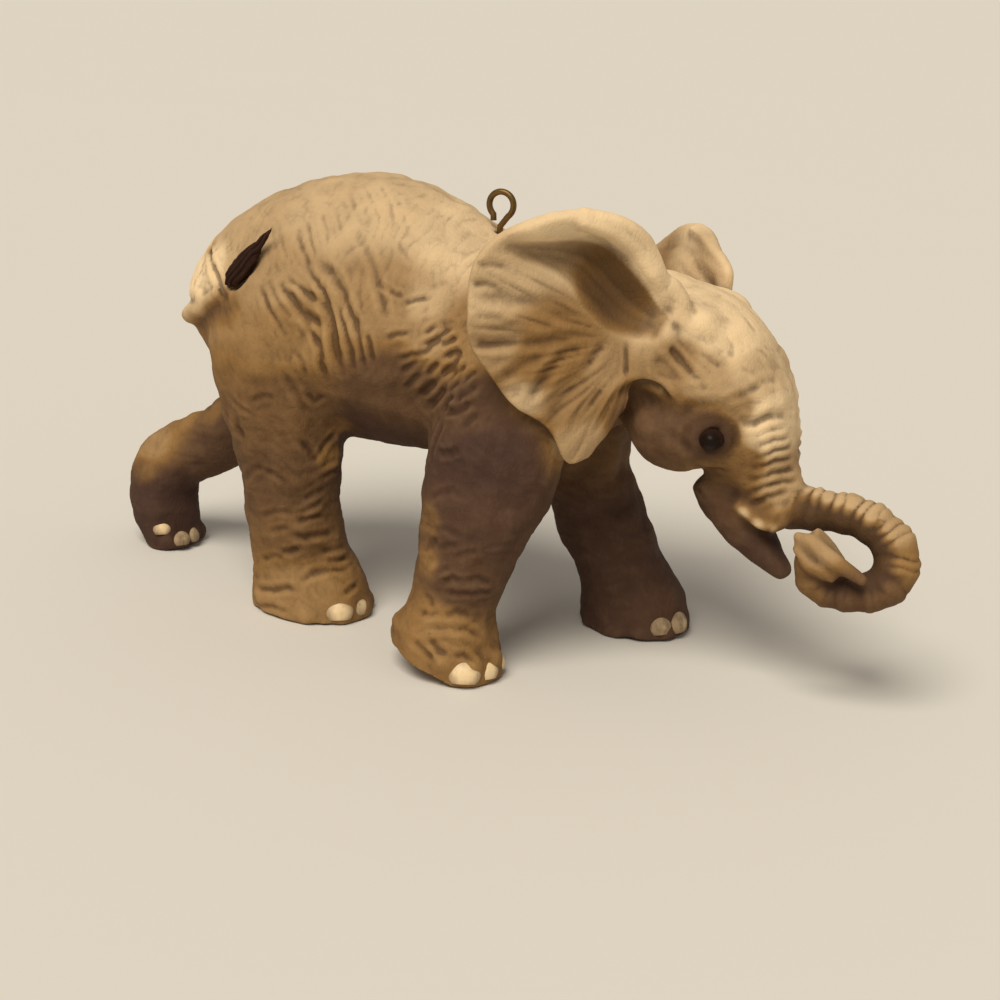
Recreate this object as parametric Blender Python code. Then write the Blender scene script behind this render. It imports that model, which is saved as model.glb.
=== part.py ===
"""A walking elephant calf figure with its trunk curled, cast in pieces that are pegged together.

The calf faces +X, its left side is +Y and it stands on the ground at z = 0. All sizes are in metres.
Body forms are lofts along the animal's own lines. They are fused, smoothed and then cut apart along
the casting seams, so that each piece carries its share of one continuous outline.
"""

import math

import bmesh
import bpy
from mathutils import Matrix, Vector

# Main sizes of the animal
TORSO_LENGTH = 0.065
TORSO_WIDTH = 0.032
BACK_HEIGHT = 0.060
LEG_GIRTH = 0.013
HEAD_LENGTH = 0.030
HEAD_DEPTH = 0.0196
HEAD_WIDTH = 0.0206
JAW_DEPTH = 0.0066
JAW_WIDTH = 0.0092
TRUNK_THICKNESS = 0.0055
TRUNK_CURL_WIDTH = 0.0108
TRUNK_CURL_HEIGHT = 0.0100
TRUNK_SIDE_SHIFT = 0.0050
EAR_LENGTH = 0.0222
EAR_HEIGHT = 0.0308
EAR_THICKNESS = 0.0014
TAIL_THICKNESS = 0.0042
TUFT_LENGTH = 0.0105
TUFT_WIDTH = 0.0038
TUFT_THICKNESS = 0.0022

# Small pieces
EYE_DIAMETER = 0.0034
NAIL_WIDTH = 0.0027
NAIL_HEIGHT = 0.0026
NAIL_DEPTH = 0.0015
WIRE_DIAMETER = 0.0008
HANGER_LOOP_WIDTH = 0.0041
HANGER_NECK = 0.0016
HANGER_SHANK_LENGTH = 0.0070

# How the castings seat in each other
SEAM_GAP = 0.0003
EAR_SLOT_GAP = 0.0004
LIP_GAP = 0.0005
LEG_PEG_DIAMETER = 0.0040
LEG_PEG_LENGTH = 0.0060
NECK_PEG_DIAMETER = 0.0060
NECK_PEG_LENGTH = 0.0070
TRUNK_PEG_DIAMETER = 0.0024
TRUNK_PEG_LENGTH = 0.0040
JAW_PEG_DIAMETER = 0.0022
JAW_PEG_LENGTH = 0.0024
JAW_SEAT_WIDTH = 0.0096
SEAT_DOME_HEIGHT = 0.0040
HEEL_LIFT = math.radians(20)

# Surface fineness
VOXEL = 0.00085
FINE_VOXEL = 0.00034
CUT_OVERRUN = 0.0500
TORSO_KEEP_SHARE = 0.052
HEAD_KEEP_SHARE = 0.076
LEG_KEEP_SHARE = 0.052
TRUNK_KEEP_SHARE = 0.055
EAR_KEEP_SHARE = 0.038
LOFT_SIDES = 20
TUBE_SIDES = 12

# Colour, roughness and metal share of each piece's surface
finishes = {
    "torso": ((0.50, 0.37, 0.24, 1.0), 0.74, 0.0),
    "head": ((0.46, 0.35, 0.21, 1.0), 0.72, 0.0),
    "lower_jaw": ((0.30, 0.20, 0.12, 1.0), 0.76, 0.0),
    "trunk": ((0.52, 0.39, 0.22, 1.0), 0.70, 0.0),
    "right_ear": ((0.48, 0.37, 0.22, 1.0), 0.72, 0.0),
    "left_ear": ((0.48, 0.37, 0.22, 1.0), 0.72, 0.0),
    "hind_right_leg": ((0.40, 0.27, 0.15, 1.0), 0.74, 0.0),
    "hind_left_leg": ((0.42, 0.28, 0.15, 1.0), 0.74, 0.0),
    "front_right_leg": ((0.36, 0.24, 0.14, 1.0), 0.74, 0.0),
    "front_left_leg": ((0.34, 0.23, 0.14, 1.0), 0.74, 0.0),
    "toenail": ((0.78, 0.66, 0.46, 1.0), 0.50, 0.0),
    "tail": ((0.52, 0.38, 0.24, 1.0), 0.74, 0.0),
    "tail_tuft": ((0.030, 0.018, 0.016, 1.0), 0.62, 0.0),
    "right_eye": ((0.012, 0.008, 0.007, 1.0), 0.12, 0.0),
    "left_eye": ((0.012, 0.008, 0.007, 1.0), 0.12, 0.0),
    "hanger_eye": ((0.30, 0.22, 0.10, 1.0), 0.35, 0.9),
}

# Torso stations: place along, top and bottom of the section, half width.
# They are shares of the torso's length, the back's height and the torso's half width.
torso_shares = (
    (-0.695, 0.750, 0.640, 0.18),
    (-0.668, 0.792, 0.580, 0.46),
    (-0.606, 0.856, 0.515, 0.70),
    (-0.514, 0.922, 0.455, 0.87),
    (-0.402, 0.970, 0.420, 0.97),
    (-0.280, 0.985, 0.400, 1.00),
    (-0.155, 0.955, 0.402, 0.98),
    (-0.046, 0.898, 0.412, 0.92),
    (0.062, 0.858, 0.430, 0.83),
    (0.169, 0.838, 0.475, 0.70),
    (0.262, 0.825, 0.540, 0.58),
    (0.320, 0.800, 0.600, 0.45),
)
EGG_SHARE = 0.10

# Leg stations: place as shares of torso length, torso width and back height, then the fore-and-aft
# and the sideways radius as shares of the leg's girth. Each leg runs from inside the body to the sole.
hind_right_shares = (
    (-0.445, -0.250, 0.740, 0.62, 0.42),
    (-0.445, -0.280, 0.620, 0.74, 0.54),
    (-0.436, -0.275, 0.517, 0.69, 0.55),
    (-0.426, -0.259, 0.417, 0.60, 0.51),
    (-0.416, -0.234, 0.325, 0.53, 0.47),
    (-0.414, -0.209, 0.217, 0.51, 0.45),
    (-0.400, -0.184, 0.125, 0.52, 0.46),
    (-0.384, -0.166, 0.058, 0.61, 0.53),
    (-0.375, -0.162, 0.000, 0.66, 0.57),
    (-0.375, -0.162, -0.050, 0.66, 0.57),
)
front_right_shares = (
    (0.060, -0.240, 0.740, 0.58, 0.36),
    (0.064, -0.315, 0.617, 0.70, 0.47),
    (0.063, -0.369, 0.517, 0.70, 0.52),
    (0.052, -0.400, 0.417, 0.65, 0.50),
    (0.040, -0.422, 0.342, 0.58, 0.48),
    (0.022, -0.438, 0.240, 0.48, 0.45),
    (0.011, -0.456, 0.160, 0.43, 0.42),
    (0.003, -0.472, 0.088, 0.53, 0.48),
    (-0.002, -0.482, 0.030, 0.61, 0.52),
    (-0.002, -0.482, -0.050, 0.61, 0.52),
)
HEEL_EDGE_SHARE = 0.060
front_left_shares = (
    (0.068, 0.240, 0.740, 0.58, 0.36),
    (0.080, 0.306, 0.617, 0.68, 0.47),
    (0.096, 0.319, 0.500, 0.64, 0.50),
    (0.128, 0.319, 0.350, 0.49, 0.46),
    (0.156, 0.340, 0.258, 0.47, 0.45),
    (0.190, 0.362, 0.175, 0.45, 0.44),
    (0.214, 0.384, 0.113, 0.48, 0.45),
    (0.234, 0.400, 0.053, 0.58, 0.51),
    (0.242, 0.405, 0.000, 0.62, 0.55),
    (0.242, 0.405, -0.050, 0.62, 0.55),
)
hind_left_shares = (
    (-0.470, 0.250, 0.740, 0.62, 0.42),
    (-0.490, 0.275, 0.617, 0.71, 0.52),
    (-0.528, 0.275, 0.500, 0.62, 0.52),
    (-0.585, 0.259, 0.400, 0.50, 0.46),
    (-0.680, 0.238, 0.307, 0.39, 0.41),
    (-0.776, 0.222, 0.245, 0.36, 0.40),
    (-0.842, 0.219, 0.195, 0.38, 0.42),
    (-0.852, 0.219, 0.125, 0.37, 0.44),
    (-0.838, 0.219, 0.058, 0.33, 0.43),
    (-0.820, 0.219, 0.005, 0.27, 0.38),
    (-0.812, 0.219, -0.042, 0.25, 0.36),
)

legs = {
    "hind_right_leg": hind_right_shares,
    "hind_left_leg": hind_left_shares,
    "front_right_leg": front_right_shares,
    "front_left_leg": front_left_shares,
}

# The size of each leg's domed seat in the body, as shares of the girth. The seats of a left and
# right leg stay either side of the spine.
SEAT_LENGTH_SHARE = 1.00
SEAT_WIDTH_SHARE = 0.60
LEG_TOP_SHARE = 0.385

# Head stations: place from the skull's middle, as shares of the head's length, then the depth and
# width radius as shares of the head's depth and width. The neck end runs into the torso.
SKULL_X_SHARE = 0.354
SKULL_Z_SHARE = 0.700
head_shares = (
    (-0.400, 0.050, 0.41, 0.41),
    (-0.200, 0.033, 0.46, 0.46),
    (-0.010, -0.012, 0.485, 0.50),
    (0.163, -0.108, 0.465, 0.49),
    (0.270, -0.225, 0.395, 0.42),
    (0.354, -0.345, 0.305, 0.32),
    (0.418, -0.455, 0.222, 0.24),
    (0.480, -0.535, 0.178, 0.188),
    (0.560, -0.560, 0.155, 0.160),
)
jaw_shares = (
    (0.167, -0.483, 0.45, 0.48),
    (0.260, -0.590, 0.50, 0.46),
    (0.340, -0.693, 0.45, 0.41),
    (0.433, -0.777, 0.36, 0.33),
    (0.513, -0.840, 0.26, 0.25),
    (0.560, -0.877, 0.14, 0.14),
)
# Brow, cheek and temple swellings on each side: place from the skull's middle as shares of the
# head's length, width and length, then their radii as shares of the head's length.
swelling_shares = (
    (0.220, 0.345, -0.080, 0.140, 0.075, 0.070),
    (0.080, 0.290, -0.265, 0.225, 0.150, 0.185),
    (0.030, 0.260, 0.140, 0.200, 0.130, 0.120),
)

# The neck seam leans forward at its top
NECK_SEAM_X_SHARE = 0.245
NECK_SEAM_LEAN = math.radians(8)
MOUTH_SEAM_X_SHARE = 0.360
MOUTH_SEAM_Z_SHARE = -0.570
MOUTH_SEAM_SLOPE = math.radians(-43)
JAW_SEAM_REACH_SHARE = 0.28

# Trunk stations: from the trunk seam, as shares of the curl's width and height, the sideways
# shift as a share of its own size, then the radius in the curl's plane and across it as shares of
# the trunk's thickness. The last two stations flare into the two-lipped tip.
trunk_shares = (
    (-0.11, 0.16, 0.00, 0.66, 0.66),
    (0.00, 0.00, 0.00, 0.62, 0.62),
    (0.20, -0.095, 0.00, 0.55, 0.55),
    (0.52, -0.085, 0.02, 0.48, 0.48),
    (0.87, -0.065, 0.08, 0.47, 0.47),
    (1.20, -0.150, 0.18, 0.49, 0.48),
    (1.435, -0.375, 0.31, 0.51, 0.49),
    (1.465, -0.665, 0.45, 0.50, 0.48),
    (1.32, -0.865, 0.57, 0.47, 0.46),
    (1.09, -0.935, 0.68, 0.45, 0.44),
    (0.84, -0.945, 0.79, 0.44, 0.42),
    (0.645, -0.870, 0.89, 0.43, 0.40),
    (0.575, -0.700, 0.97, 0.45, 0.37),
    (0.665, -0.520, 1.00, 0.53, 0.35),
    (0.800, -0.370, 1.00, 0.66, 0.36),
)
TRUNK_RINGS = 15
TRUNK_RING_SHARE = 0.035

# Ear rim, from the top of the root round the back to the tip and up to the root's lower end:
# shares of the ear's length, back from the root, and of its height, up from the root
ear_rim_shares = (
    (-0.05, 0.190),
    (0.05, 0.345),
    (0.20, 0.425),
    (0.40, 0.455),
    (0.58, 0.448),
    (0.74, 0.412),
    (0.90, 0.345),
    (1.00, 0.255),
    (1.02, 0.150),
    (1.01, 0.040),
    (0.98, -0.070),
    (0.90, -0.165),
    (0.70, -0.305),
    (0.49, -0.430),
    (0.30, -0.545),
    (0.17, -0.430),
    (0.11, -0.310),
    (0.06, -0.190),
)
ear_root_shares = ((-0.09, 0.090), (0.05, -0.090))
EAR_ROOT_DEPTH_SHARE = 0.11
EAR_COLUMNS = 32
EAR_ROWS = 8
EAR_RIBS = 8
EAR_RIB_SHARE = 0.024
EAR_CUP_SHARE = 0.10
EAR_ROLL_SHARE = 0.16
EAR_ROOT_X_SHARE = 0.331
EAR_ROOT_Z_SHARE = 0.783
EAR_ROOT_Y_SHARE = 0.440
LEFT_EAR_DROP_SHARE = 0.070
LEFT_EAR_LEAD_SHARE = 0.045
RIGHT_EAR_SPREAD = math.radians(35)
LEFT_EAR_SPREAD = math.radians(44)
LEFT_EAR_PITCH = math.radians(-12)

# Tail stations: place as shares of torso length, torso width and back height, then the radius
# as a share of the tail's thickness
tail_shares = (
    (-0.600, 0.000, 0.790, 0.50),
    (-0.650, -0.010, 0.772, 0.50),
    (-0.682, -0.045, 0.722, 0.48),
    (-0.692, -0.110, 0.668, 0.44),
    (-0.672, -0.210, 0.640, 0.38),
    (-0.622, -0.310, 0.656, 0.32),
    (-0.572, -0.372, 0.694, 0.27),
    (-0.542, -0.398, 0.724, 0.24),
)
tuft_start_shares = (-0.538, -0.402, 0.730)
tuft_lean = (0.60, -0.02, 0.80)
tuft_shares = ((0.0, 0.30), (0.12, 0.80), (0.32, 1.00), (0.55, 0.72), (0.78, 0.36), (1.0, 0.05))

# Toenails: angles round the front of each sole, their height, and how they follow the foot
nail_angles = (-70, -36, 0, 36, 70)
NAIL_LIFT_SHARE = 0.38
NAIL_RIM_SHARE = 0.93

HANGER_X_SHARE = -0.040
HANGER_FOOT_SHARE = 0.892
HANGER_LOOP_FOOT_SHARE = 0.75
HANGER_BEND_STEPS = 20
EYE_X_SHARE = 0.260
EYE_Y_SHARE = 0.408
EYE_Z_SHARE = -0.255


def clear_scene():
    for thing in list(bpy.data.objects):
        bpy.data.objects.remove(thing, do_unlink=True)


def finish_material(name):
    """The Principled material of a piece, from its entry among the finishes."""
    colour, roughness, metallic = finishes[name]
    material = bpy.data.materials.new(name + "_paint")
    material.use_nodes = True
    shader = material.node_tree.nodes["Principled BSDF"]
    shader.inputs["Base Color"].default_value = colour
    shader.inputs["Roughness"].default_value = roughness
    shader.inputs["Metallic"].default_value = metallic
    material.diffuse_color = colour
    return material


def body_point(x_share, y_share, z_share):
    """A place in the animal's frame, from shares of the torso's length and width and the back's height."""
    return Vector((x_share * TORSO_LENGTH, y_share * TORSO_WIDTH, z_share * BACK_HEIGHT))


def skull_point(x_share, y_share, z_share):
    """A place counted from the skull's middle, in shares of the head's length and width."""
    middle = body_point(SKULL_X_SHARE, 0, SKULL_Z_SHARE)
    return middle + Vector((x_share * HEAD_LENGTH, y_share * HEAD_WIDTH, z_share * HEAD_LENGTH))


def smooth_rows(rows, steps):
    """Rows of numbers, with a smooth curve through them read at steps places between each two."""
    rows = [Vector(row) for row in rows]
    result = []
    last = len(rows) - 1
    for i in range(last):
        before = rows[max(i - 1, 0)]
        start = rows[i]
        end = rows[i + 1]
        after = rows[min(i + 2, last)]
        for k in range(steps):
            t = k / steps
            t2 = t * t
            t3 = t2 * t
            result.append(
                (start * 2 + (end - before) * t + (before * 2 - start * 5 + end * 4 - after) * t2
                 + (start * 3 - before - end * 3 + after) * t3) / 2
            )
    result.append(rows[last])
    return result


def skin_rings(mesh, rings):
    """Joins rings of vertices into a closed tube with flat ends."""
    loops = [[mesh.verts.new(point) for point in ring] for ring in rings]
    for first, second in zip(loops, loops[1:]):
        for k in range(len(first)):
            n = (k + 1) % len(first)
            mesh.faces.new((first[k], first[n], second[n], second[k]))
    mesh.faces.new(list(reversed(loops[0])))
    mesh.faces.new(loops[-1])
    bmesh.ops.recalc_face_normals(mesh, faces=mesh.faces)


def loft_along(mesh, stations, sides=LOFT_SIDES, grow=0.0, side_way=Vector((0, 1, 0))):
    """A tube through stations of (centre, radius across the path in its plane, radius sideways)."""
    rings = []
    last = len(stations) - 1
    for i, (centre, upward, sideways) in enumerate(stations):
        ahead = stations[min(i + 1, last)][0] - stations[max(i - 1, 0)][0]
        tangent = ahead.normalized()
        side = (side_way - tangent * side_way.dot(tangent)).normalized()
        normal = tangent.cross(side)
        ring = []
        for k in range(sides):
            angle = 2 * math.pi * k / sides
            ring.append(
                centre
                + normal * math.cos(angle) * (upward + grow)
                + side * math.sin(angle) * (sideways + grow)
            )
        rings.append(ring)
    skin_rings(mesh, rings)


def torso_loft(mesh):
    """The barrel of the body, from the rump to inside the head, wider low down than at the spine."""
    rings = []
    for along, top, bottom, width in smooth_rows(torso_shares, 3):
        low = bottom * BACK_HEIGHT
        high = top * BACK_HEIGHT
        ring = []
        for k in range(LOFT_SIDES + 4):
            angle = 2 * math.pi * k / (LOFT_SIDES + 4)
            egg = 1 - EGG_SHARE * math.sin(angle)
            ring.append(
                Vector((
                    along * TORSO_LENGTH,
                    math.cos(angle) * egg * width * TORSO_WIDTH / 2,
                    (low + high) / 2 + math.sin(angle) * (high - low) / 2,
                ))
            )
        rings.append(ring)
    skin_rings(mesh, rings)


def leg_stations(shares, steps=3):
    rows = smooth_rows(shares, steps)
    return [
        (body_point(x, y, z), along * LEG_GIRTH, across * LEG_GIRTH) for x, y, z, along, across in rows
    ]


def leg_loft(mesh, shares):
    """One leg. Its rings lie across the leg, with their longer radius fore and aft."""
    loft_along(mesh, leg_stations(shares))


def head_stations(shares, depth, width, steps=3):
    rows = smooth_rows(shares, steps)
    return [(skull_point(x, 0, z), up * depth, side * width) for x, z, up, side in rows]


def swellings(mesh):
    """The brow, cheek and temple of each side, as flattened balls half sunk in the head."""
    for x, y, z, long_radius, side_radius, high_radius in swelling_shares:
        for side in (-1, 1):
            matrix = Matrix.Translation(skull_point(x, side * y, z)) @ Matrix.Diagonal(
                (long_radius * HEAD_LENGTH, side_radius * HEAD_LENGTH, high_radius * HEAD_LENGTH, 1)
            )
            bmesh.ops.create_uvsphere(mesh, u_segments=16, v_segments=10, radius=1, matrix=matrix)


def plain_object(name, mesh, shown=False):
    """An object from a bmesh. Helper objects are kept off the model."""
    data = bpy.data.meshes.new(name)
    bmesh.ops.recalc_face_normals(mesh, faces=mesh.faces)
    mesh.to_mesh(data)
    mesh.free()
    thing = bpy.data.objects.new(name, data)
    bpy.context.scene.collection.objects.link(thing)
    thing.hide_render = not shown
    return thing


def applied(thing):
    """Replaces the object's mesh by the shape that its modifiers give."""
    bpy.context.view_layer.update()
    graph = bpy.context.evaluated_depsgraph_get()
    shape = bpy.data.meshes.new_from_object(thing.evaluated_get(graph))
    thing.modifiers.clear()
    thing.data = shape
    return thing


def fused(name, makers, keep_share, smoothing=9, voxel=VOXEL):
    """One smooth closed body from overlapping lofts."""
    mesh = bmesh.new()
    for maker in makers:
        maker(mesh)
    return fuse(plain_object(name, mesh), keep_share, smoothing, voxel)


def fuse(thing, keep_share, smoothing, voxel):
    """Fuses what overlaps in an object on a fine grid, eases its surface and thins its faces."""
    remesh = thing.modifiers.new("fuse", "REMESH")
    remesh.mode = "VOXEL"
    remesh.voxel_size = voxel
    ease = thing.modifiers.new("ease", "SMOOTH")
    ease.factor = 0.5
    ease.iterations = smoothing
    thin = thing.modifiers.new("thin", "DECIMATE")
    thin.ratio = keep_share
    return applied(thing)


def combine(thing, tool, operation, keep_tool=False):
    """Cuts, joins or intersects the object with a tool, and removes the tool unless it is kept."""
    step = thing.modifiers.new("step", "BOOLEAN")
    step.operation = operation
    step.solver = "EXACT"
    step.material_mode = "TRANSFER"
    step.object = tool
    applied(thing)
    if not keep_tool:
        bpy.data.objects.remove(tool, do_unlink=True)
    return thing


def facing_out(thing):
    """Turns every face of a closed mesh to the outside."""
    mesh = bmesh.new()
    mesh.from_mesh(thing.data)
    bmesh.ops.recalc_face_normals(mesh, faces=mesh.faces)
    mesh.to_mesh(thing.data)
    mesh.free()
    return thing


def copy_of(thing, name, grow=0.0):
    """A copy of a mesh, with every vertex pushed outward by grow."""
    twin = thing.copy()
    twin.data = thing.data.copy()
    twin.name = name
    bpy.context.scene.collection.objects.link(twin)
    pushes = [vertex.normal * grow for vertex in twin.data.vertices]
    for vertex, push in zip(twin.data.vertices, pushes):
        vertex.co += push
    return twin


def box_tool(low, high, matrix=Matrix()):
    """A box between two corners, turned and placed by a matrix."""
    mesh = bmesh.new()
    low = Vector(low)
    high = Vector(high)
    size = high - low
    place = matrix @ Matrix.Translation((low + high) / 2) @ Matrix.Diagonal((*size, 1))
    bmesh.ops.create_cube(mesh, size=1, matrix=place)
    return plain_object("tool", mesh)


def rod_tool(start, end, diameter, grow=0.0, sides=TUBE_SIDES):
    """A round rod from start to end, longer and wider by grow on every side."""
    way = (end - start).normalized()
    length = (end - start).length + 2 * grow
    mesh = bmesh.new()
    matrix = Matrix.Translation((start + end) / 2) @ way.to_track_quat("Z", "Y").to_matrix().to_4x4()
    bmesh.ops.create_cone(
        mesh, cap_ends=True, segments=sides, radius1=diameter / 2 + grow, radius2=diameter / 2 + grow,
        depth=length, matrix=matrix,
    )
    return plain_object("tool", mesh)


def below_belly_tool(grow=0.0):
    """Everything under the belly line, which belongs to the legs."""
    top = LEG_TOP_SHARE * BACK_HEIGHT + grow
    return box_tool((-CUT_OVERRUN * 2, -CUT_OVERRUN, -CUT_OVERRUN), (CUT_OVERRUN * 2, CUT_OVERRUN, top))


def seat_middles(shares):
    """The middle of a leg above, at and under its seat: its second to fourth stations."""
    return [body_point(x, y, z) for x, y, z, _, _ in shares[1:4]]


def leg_plug_tool(shares, grow=0.0):
    """The domed plug by which a leg reaches up into the body. Its foot follows the leg's lean."""
    _, middle, lower = seat_middles(shares)
    lean = (lower - middle) / (lower.z - middle.z)
    length = SEAT_LENGTH_SHARE * LEG_GIRTH + grow
    width = SEAT_WIDTH_SHARE * LEG_GIRTH + grow
    foot = LEG_TOP_SHARE * BACK_HEIGHT - LEG_GIRTH / 2
    rings = []
    quarter = 6
    for i in range(quarter + 1):
        lift = math.pi / 2 * i / quarter
        swell = max(math.cos(lift), math.sin(SEAM_GAP / length))
        rings.append((middle + Vector((0, 0, math.sin(lift) * (SEAT_DOME_HEIGHT + grow))), swell))
    rings.insert(0, (middle + lean * (foot - middle.z), 1))
    mesh = bmesh.new()
    skin_rings(mesh, [
        [
            centre + Vector((math.cos(turn) * length * swell, math.sin(turn) * width * swell, 0))
            for turn in (2 * math.pi * k / LOFT_SIDES for k in range(LOFT_SIDES))
        ]
        for centre, swell in rings
    ])
    return plain_object("plug", mesh)


def leg_peg_tool(shares, grow=0.0):
    """The locating peg on top of a leg, in line with its upper part."""
    upper, middle, _ = seat_middles(shares)
    way = (upper - middle).normalized()
    top = middle + way * (SEAT_DOME_HEIGHT + LEG_PEG_LENGTH)
    return rod_tool(middle, top, LEG_PEG_DIAMETER, grow)


def neck_frame():
    """The neck seam: its X axis points into the head, across the seam."""
    place = body_point(NECK_SEAM_X_SHARE, 0, SKULL_Z_SHARE)
    return Matrix.Translation(place) @ Matrix.Rotation(NECK_SEAM_LEAN, 4, "Y")


def head_seat_tool(grow=0.0):
    """What belongs to the head: everything ahead of the neck seam and above the chest."""
    low = (-grow, -CUT_OVERRUN, -BACK_HEIGHT / 3 - grow)
    high = (CUT_OVERRUN * 2, CUT_OVERRUN, CUT_OVERRUN)
    return box_tool(low, high, neck_frame())


def neck_peg_tool(grow=0.0):
    frame = neck_frame()
    start = frame @ Vector((NECK_PEG_DIAMETER, 0, 0))
    end = frame @ Vector((-NECK_PEG_LENGTH, 0, 0))
    return rod_tool(start, end, NECK_PEG_DIAMETER, grow)


def mouth_frame():
    """The mouth seam: its X axis runs forward along the lips and its Z axis points up into the head."""
    place = skull_point(MOUTH_SEAM_X_SHARE, 0, MOUTH_SEAM_Z_SHARE)
    return Matrix.Translation(place) @ Matrix.Rotation(-MOUTH_SEAM_SLOPE, 4, "Y")


def jaw_seat_tool(grow=0.0):
    """What belongs to the lower jaw: everything under the mouth seam, from the cheek forward."""
    back = -JAW_SEAM_REACH_SHARE * HEAD_LENGTH - grow
    side = JAW_SEAT_WIDTH / 2 + grow
    return box_tool((back, -side, -HEAD_LENGTH), (HEAD_LENGTH, side, grow), mouth_frame())


def jaw_peg_tool(grow=0.0):
    frame = mouth_frame()
    back = -JAW_SEAM_REACH_SHARE * HEAD_LENGTH / 2
    start = frame @ Vector((back, 0, -JAW_PEG_LENGTH))
    end = frame @ Vector((back, 0, JAW_PEG_LENGTH))
    return rod_tool(start, end, JAW_PEG_DIAMETER, grow)


def trunk_root():
    """Where the trunk leaves the head, and the way it goes."""
    before, here, _ = head_shares[-3:]
    here = skull_point(here[0], 0, here[1])
    way = (here - skull_point(before[0], 0, before[1])).normalized()
    return here, way


def beyond_trunk_seam_tool(grow=0.0):
    """Everything past the trunk seam, to cut the head's muzzle square."""
    here, way = trunk_root()
    matrix = Matrix.Translation(here - way * grow) @ way.to_track_quat("X", "Y").to_matrix().to_4x4()
    reach = HEAD_DEPTH / 3
    return box_tool((0, -reach, -reach), (CUT_OVERRUN, reach, reach), matrix)


def trunk_peg_tool(grow=0.0):
    here, way = trunk_root()
    return rod_tool(here - way * TRUNK_PEG_LENGTH, here + way * TRUNK_PEG_DIAMETER, TRUNK_PEG_DIAMETER, grow)


def trunk_piece():
    """The curled trunk, with rings across it, from its seam to the two-lipped tip."""
    here, way = trunk_root()
    rows = smooth_rows(trunk_shares, 6)
    stations = []
    for i, (x, z, shift, in_plane, across) in enumerate(rows):
        centre = here + Vector((
            x * TRUNK_CURL_WIDTH, -shift * TRUNK_SIDE_SHIFT, z * TRUNK_CURL_HEIGHT
        ))
        ring = TRUNK_RING_SHARE * math.cos(2 * math.pi * TRUNK_RINGS * i / len(rows))
        stations.append((centre, (in_plane + ring) * TRUNK_THICKNESS, (across + ring) * TRUNK_THICKNESS))
    trunk = fused("trunk", (lambda mesh: loft_along(mesh, stations),), TRUNK_KEEP_SHARE, 2, FINE_VOXEL)
    matrix = Matrix.Translation(here + way * SEAM_GAP) @ way.to_track_quat("X", "Y").to_matrix().to_4x4()
    reach = HEAD_DEPTH / 3
    combine(trunk, box_tool((-reach, -reach, -reach), (0, reach, reach), matrix), "DIFFERENCE")
    return combine(trunk, trunk_peg_tool(), "UNION")


def ear_sheet(name, side):
    """One ear as a cupped sheet with ribs and a rolled top, made thick by Solidify."""
    rim = [Vector((x * EAR_LENGTH, z * EAR_HEIGHT)) for x, z in
           smooth_rows(ear_rim_shares, 4)]
    step = (len(rim) - 1) / EAR_COLUMNS
    top, bottom = [Vector((x * EAR_LENGTH, z * EAR_HEIGHT)) for x, z in ear_root_shares]
    mesh = bmesh.new()
    grid = []
    for i in range(EAR_COLUMNS + 1):
        u = i / EAR_COLUMNS
        whole = min(int(i * step), len(rim) - 2)
        outer = rim[whole].lerp(rim[whole + 1], i * step - whole)
        inner = top.lerp(bottom, u)
        tenon = inner - Vector((EAR_ROOT_DEPTH_SHARE * EAR_LENGTH, 0))
        column = [mesh.verts.new((-tenon.x, 0, tenon.y))]
        for j in range(EAR_ROWS + 1):
            v = j / EAR_ROWS
            flat = inner.lerp(outer, v)
            relief = ear_relief(u, v) * (outer - inner).length
            column.append(mesh.verts.new((-flat.x, relief, flat.y)))
        grid.append(column)
    for first, second in zip(grid, grid[1:]):
        for j in range(EAR_ROWS + 1):
            mesh.faces.new((first[j], first[j + 1], second[j + 1], second[j]))
    ear = plain_object(name, mesh)
    ear.matrix_world = ear_frame(side)
    shell = ear.modifiers.new("thickness", "SOLIDIFY")
    shell.thickness = EAR_THICKNESS
    shell.offset = 0
    fuse(ear, EAR_KEEP_SHARE, 1, FINE_VOXEL)
    ear.data.transform(ear.matrix_world)
    ear.matrix_world = Matrix()
    return facing_out(ear)


def ear_relief(u, v):
    """How far the ear stands out of its own plane: cup, rolled top edge and ribs.

    It is a share of the distance from the root to the rim at that place.
    """
    rise = max(0, (v - 0.25) / 0.75)
    cup = -EAR_CUP_SHARE * math.sin(math.pi * rise) ** 2 * math.exp(-((u - 0.18) / 0.22) ** 2)
    roll = EAR_ROLL_SHARE * rise ** 3 * math.exp(-((u - 0.16) / 0.20) ** 2)
    belly = EAR_CUP_SHARE / 2 * math.sin(math.pi * rise) ** 2 * math.exp(-((u - 0.62) / 0.25) ** 2)
    reach = max(0, min(1, (u - 0.30) / 0.15)) * max(0, min(1, (1 - u) / 0.12))
    ribs = EAR_RIB_SHARE * reach * rise * math.sin(2 * math.pi * EAR_RIBS * u)
    return -(cup + roll + belly + ribs)


def ear_frame(side):
    """Places an ear at its root. Side is -1 for the right ear and 1 for the left one."""
    drop = LEFT_EAR_DROP_SHARE if side > 0 else 0
    lead = LEFT_EAR_LEAD_SHARE if side > 0 else 0
    root = body_point(EAR_ROOT_X_SHARE + lead, 0, EAR_ROOT_Z_SHARE - drop)
    root.y = side * EAR_ROOT_Y_SHARE * HEAD_WIDTH
    spread = LEFT_EAR_SPREAD if side > 0 else RIGHT_EAR_SPREAD
    pitch = LEFT_EAR_PITCH if side > 0 else 0
    turn = Matrix.Rotation(-side * spread, 4, "Z") @ Matrix.Rotation(pitch, 4, "Y")
    mirror = Matrix.Diagonal((1, -side, 1, 1))
    return Matrix.Translation(root) @ turn @ mirror


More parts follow.
